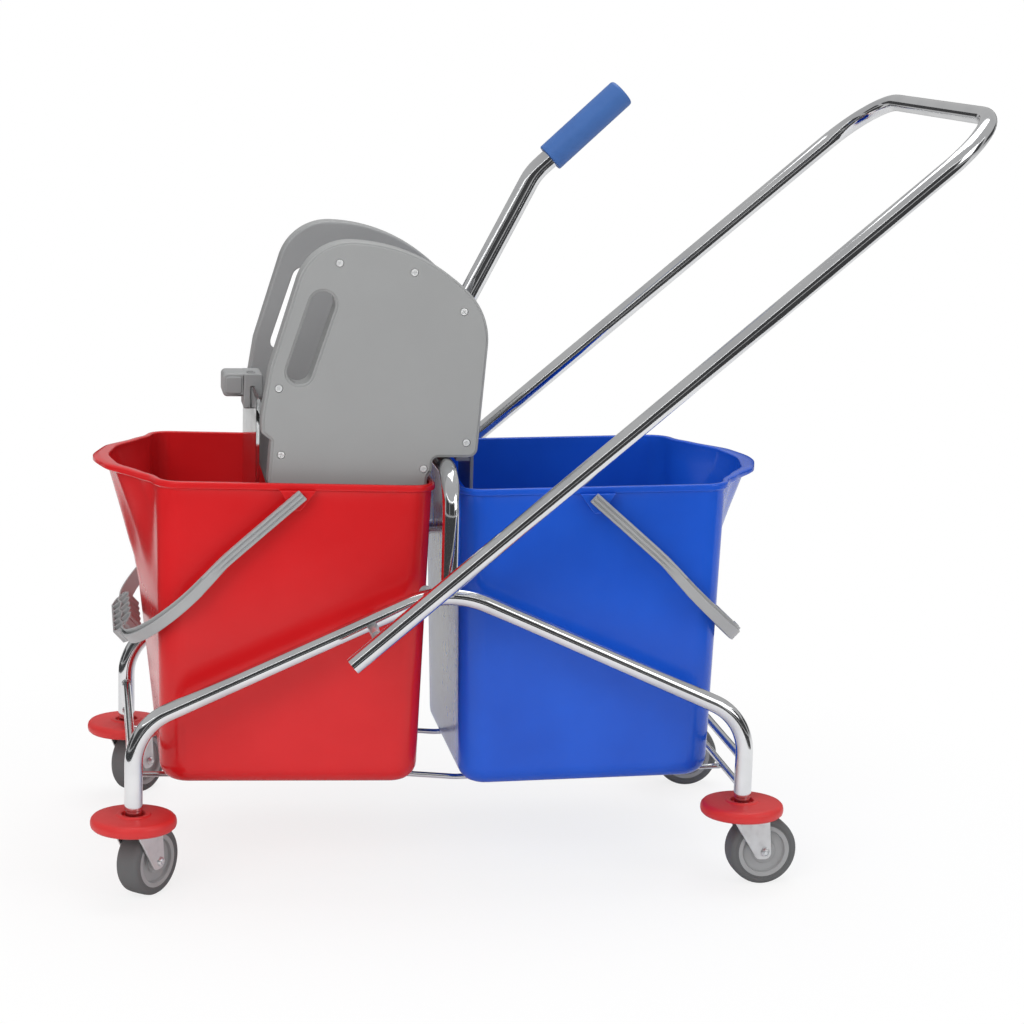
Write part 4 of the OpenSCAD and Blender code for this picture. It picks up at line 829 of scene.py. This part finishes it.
# Clip that saddles the sheet's top edge, with a padded thumb tab
saddle_edge = rounded([
    (-7.5, -24, 1.5), (0, -24, 0.5), (0, 0.05, 0.5), (4, 0.05, 0.5), (4, -13, 0.5), (13, -13, 3), (13, 14, 4),
    (-7.5, 14, 2)])
tab_edge = rounded([(-30, -11, 5), (-6, -11, 1), (-6, 14, 1), (-30, 14, 5)])
pad_edge = rounded([(-27, -8, 3.5), (-9.5, -8, 3.5), (-9.5, 11, 3.5), (-27, 11, 3.5)])
loop_edge = rounded([(-4, -19, 1), (5, -19, 1), (5, -9, 1), (-4, -9, 1)])
clip_parts = [
    slab(saddle_edge, -23, 23, (1.4, 1.4)),
    slab(tab_edge, -22, 22, (2.2, 2.2)),
    slab(pad_edge, -23.4, 23.4, (1.6, 1.6)),
    placed(slab(loop_edge, 13, 15.6, (0, 0.6), [(inset(loop_edge, 2), (0, 0.4))]), LAY_FLAT)]
clip_spot = WRINGER @ at(SHEET_FRONT, 0, SHEET_TOP)
piece("sheet_clip", placed(joined(*clip_parts), clip_spot), clip_polypropylene, "wringer",
      ["clip"])

# Lever, bent tube welded to a sleeve on the shaft that carries the press plate

SHAFT = WRINGER @ at(-11.5, 0, 67)
LEAN, GRIP_LEAN, PRESS_LEAN = math.radians(27.1), math.radians(46.9), math.radians(20)
LEVER_D, LEVER_BEND, LEVER_KNEE = 21.5, 60, (119.35, 0, 233.24)
GRIP_START, BOSS_R, SLEEVE_IN = 24, 17, 8.05
SLOT_SPOTS = (-70, -35, 0, 35, 70)

shaft = placed(turned(both_halves([
    (0, -117), (7.4, -117), (8, -116.4), (8, -113.4), (11.6, -113.4), (12, -113), (12, -109.7), (11.6, -109.3),
    (8, -109.3)]), 48), TO_Y)
piece("lever_axle", placed(shaft, SHAFT), chrome_rod, "lever", ["lever_shaft"])

press_slots = [(rounded([(y - 7, -136, 5), (y + 7, -136, 5), (y + 7, -48, 5), (y - 7, -48, 5)]), (1, 1))
               for y in SLOT_SPOTS]
press_edge = rounded([
    (-99, -150, 8), (99, -150, 8), (99, -11, 2), (20, -11, 2), (20, -34, 4), (-20, -34, 4), (-20, -11, 2),
    (-99, -11, 2)])
press = placed(slab(press_edge, -3.5, 3.5, (1.2, 1.2), press_slots),
               Matrix.Rotation(PRESS_LEAN, 4, "Y") @ STAND_ACROSS)
sleeve = placed(turned([
    (SLEEVE_IN, 18.4), (13.4, 18.4), (14, 19), (14, 100.4), (13.4, 101), (SLEEVE_IN, 101)],
    48, wrap=True), TO_Y)
piece("press_flap", placed(joined(press, across(sleeve)), SHAFT), grey_abs, "lever",
      ["press_plate"])

lever_line = bend([(6.38, 0, 12.46, 0), (*LEVER_KNEE, LEVER_BEND), (212.81, 0, 320.7, 0)], BEND_STEPS)
stick = tube(lever_line, LEVER_D, TUBE_WALL, Y, 48)
boss = placed(turned(both_halves([(SLEEVE_IN, -18), (16.2, -18), (BOSS_R, -17.2)]), 56, wrap=True), TO_Y)
leaning = Matrix.Rotation(LEAN, 4, "Y") @ Matrix.Rotation(math.pi / 2, 4, "Z")
boss_weld = saddle(LEVER_D / 2, BOSS_R, 1.8, leaning)
piece("lever_tube", placed(joined(stick, boss, boss_weld), SHAFT), chrome_tube, "lever",
      ["lever"])

grip = turned([
    (0, 104.2), (10.85, 104.2), (10.85, 0.2), (14.8, 0.2), (15.6, 0.6), (16, 1.6), (16, 103.4), (15.7, 105),
    (14.8, 106.3), (13.5, 107.1), (12, 107.4), (0, 107.4)], 72)
grip_spot = SHAFT @ at(*LEVER_KNEE) @ Matrix.Rotation(GRIP_LEAN, 4, "Y") @ at(0, 0, GRIP_START)
piece("lever_hand_grip", placed(grip, grip_spot), grip_vinyl, "lever", ["lever_grip"], 50)


# Stage: pale floor and white surround, and glowing dark panels, a dark floor band and a light strip that show
# only in gloss, as painted reflections and a painted highlight

PAPER_R, PAPER_SIDES = 9000, 96
SCREEN_R, SCREEN_STEPS = 6500, 12
SCREENS = (  # from and to in degrees about the trolley, foot and top in millimetres
    (-172, -124, 100, 3000), (-120, -62, 100, 3200), (-56, -8, 100, 3000), (4, 40, 100, 1700),
    (50, 86, 100, 1500), (94, 130, 100, 1500), (140, 176, 100, 1700))
# Strip that glows white and shows only in gloss: a painted highlight
HIGHLIGHT_STRIP = (-172, -8, 3500, 3720)
# Band on the floor that glows dark grey and shows only in gloss: a painted reflection of a darker floor
REFLECTION_BAND_RADII, REFLECTION_BAND_TURNS, REFLECTION_BAND_STEPS, REFLECTION_BAND_Z = (1050, 4000), (-236, -15), 30, 4
WHITE = (1, 1, 1, 1)


def stage_piece(name, shape, material, seen_in_gloss_only=False):
    """A piece of the studio, not of the trolley."""
    mesh = bpy.data.meshes.new(name)
    mesh.from_pydata([Vector(p) * MM for p in shape[0]], [], shape[1])
    mesh.materials.append(material)
    made = bpy.data.objects.new(name, mesh)
    bpy.context.scene.collection.objects.link(made)
    if seen_in_gloss_only:
        made.visible_camera = made.visible_diffuse = False
        made.visible_shadow = made.visible_transmission = False
    return made


def lit_only(name, colour, strength):
    """A material that gives off light and takes none."""
    material = bpy.data.materials.new(name)
    material.use_nodes = True
    tree = material.node_tree
    tree.nodes.clear()
    light = add(tree, "ShaderNodeEmission", {"Color": colour, "Strength": strength})
    add(tree, "ShaderNodeOutputMaterial", {"Surface": light.outputs["Emission"]})
    return material


# Matt white paper: takes the soft shadow near the trolley and runs out into plain white
paper = bpy.data.materials.new("matt_white_paper")
paper.use_nodes = True
tree = paper.node_tree
tree.nodes.clear()
sheen = add(tree, "ShaderNodeBsdfDiffuse", {"Color": linear("#F4F4F4")})
glow = add(tree, "ShaderNodeEmission", {"Color": WHITE, "Strength": 1.0})
rays = add(tree, "ShaderNodeLightPath")
seen = add(tree, "ShaderNodeMath", {
    0: rays.outputs["Is Camera Ray"], 1: rays.outputs["Is Transmission Ray"]}, operation="MAXIMUM")
spot = add(tree, "ShaderNodeTexCoord").outputs["Object"]
reach = add(tree, "ShaderNodeVectorMath", {0: spot}, operation="LENGTH")
fade = add(tree, "ShaderNodeMapRange", {
    "Value": reach.outputs["Value"], "From Min": 0.3, "From Max": 0.9, "To Min": 0.8, "To Max": 1.0},
    interpolation_type="SMOOTHSTEP")
share = add(tree, "ShaderNodeMath", {0: seen.outputs[0], 1: fade.outputs["Result"]}, operation="MULTIPLY")
blend = add(tree, "ShaderNodeMixShader", {
    "Fac": share.outputs[0], 1: sheen.outputs["BSDF"], 2: glow.outputs["Emission"]})
add(tree, "ShaderNodeOutputMaterial", {"Surface": blend.outputs["Shader"]})

# Painted reflection: an even dark grey that glows and shows only in gloss, painting the dark lines of a studio
# into the chrome
painted_reflection_dark = lit_only("painted_reflection_dark_grey", linear("#444445"), 1.0)
# Painted highlight: a strip that glows white and shows only in gloss, a thin bright line above the dark panels
# in the chrome
painted_highlight_glow = lit_only("painted_highlight_white_glow", WHITE, 2.6)


def strip(row, next_row):
    """One band of faces between two rows of points."""
    n = len(row)
    return row + next_row, [[k, k + 1, k + n + 1, k + n] for k in range(n - 1)]


def arc(r, z, start, stop, steps):
    """Level row of points about the trolley."""
    return [(r * math.cos(a), r * math.sin(a), z) for a in fan(start, stop, steps)]


def screen(start, stop, low, high):
    """Upright screen that stands in an arc about the trolley."""
    return strip(*[arc(SCREEN_R, z, start, stop, SCREEN_STEPS) for z in (low, high)])


floor_disc = [(x, y, 0) for x, y in circle(PAPER_R, PAPER_SIDES)], [list(range(PAPER_SIDES))]
reflection_band = strip(*[arc(r, REFLECTION_BAND_Z, *REFLECTION_BAND_TURNS, REFLECTION_BAND_STEPS) for r in REFLECTION_BAND_RADII])
stage_piece("floor", floor_disc, paper)
# Painted reflections: upright panels that glow dark grey and show only in gloss
stage_piece("painted_reflection_panels", joined(*[screen(*place) for place in SCREENS]), painted_reflection_dark, True)
stage_piece("painted_highlight_strips", screen(*HIGHLIGHT_STRIP), painted_highlight_glow, True)
# Painted reflection: the dark floor band, seen only in gloss
stage_piece("painted_reflection_floor_band", reflection_band, painted_reflection_dark, True)

# White surround: plain white behind the trolley, half as bright where it lights it
world = bpy.data.worlds.new("white_surround")
bpy.context.scene.world = world
world.use_nodes = True
tree = world.node_tree
tree.nodes.clear()
rays = add(tree, "ShaderNodeLightPath")
seen = add(tree, "ShaderNodeMath", {
    0: rays.outputs["Is Camera Ray"], 1: rays.outputs["Is Transmission Ray"]}, operation="MAXIMUM")
brightness = add(tree, "ShaderNodeMapRange", {"Value": seen.outputs[0], "To Min": 0.5, "To Max": 1.0})
sky = add(tree, "ShaderNodeBackground", {"Color": WHITE, "Strength": brightness.outputs["Result"]})
add(tree, "ShaderNodeOutputWorld", {"Surface": sky.outputs["Background"]})

# Softboxes: place and width in metres, watts
LAMPS = (
    ("key_softbox", (-1.6, -2.5, 2.0), 2.0, 48), ("fill_softbox", (2.4, -2.2, 1.6), 1.6, 18),
    ("top_softbox", (0.3, 0.6, 3.0), 2.2, 40))
AIM = Vector((0, 0, 0.4))
for name, place, width, watts in LAMPS:
    lamp = bpy.data.lights.new(name, "AREA")
    lamp.size, lamp.energy = width, watts
    box = bpy.data.objects.new(name, lamp)
    box.location = place
    box.rotation_euler = (Vector(place) - AIM).to_track_quat("Z", "Y").to_euler()
    box.visible_glossy = name != "key_softbox"  # the largest lamp would fill the chrome with white
    bpy.context.scene.collection.objects.link(box)

# Camera at the photograph's height, turn and slight roll
TURN, DIP, ROLL = math.radians(9.534), math.radians(11.084), math.radians(1.576)
EYE = (-0.3858, -2.8692, 0.9443)
SENSOR, FOCAL_PIXELS, FRAME_PIXELS = 36.0, 2659, 1024
back = Vector((-math.sin(TURN) * math.cos(DIP), -math.cos(TURN) * math.cos(DIP), math.sin(DIP)))
right = Vector((math.cos(TURN), -math.sin(TURN), 0))
up = back.cross(right)
right, up = math.cos(ROLL) * right + math.sin(ROLL) * up, math.cos(ROLL) * up - math.sin(ROLL) * right
lens = bpy.data.cameras.new("photo_view")
lens.sensor_width, lens.lens = SENSOR, SENSOR * FOCAL_PIXELS / FRAME_PIXELS
lens.clip_end = 60.0
camera = bpy.data.objects.new("photo_view", lens)
camera.matrix_world = Matrix((right, up, back)).transposed().to_4x4()
camera.location = EYE
bpy.context.scene.collection.objects.link(camera)
bpy.context.scene.camera = camera
bpy.context.scene.view_settings.view_transform = "Standard"
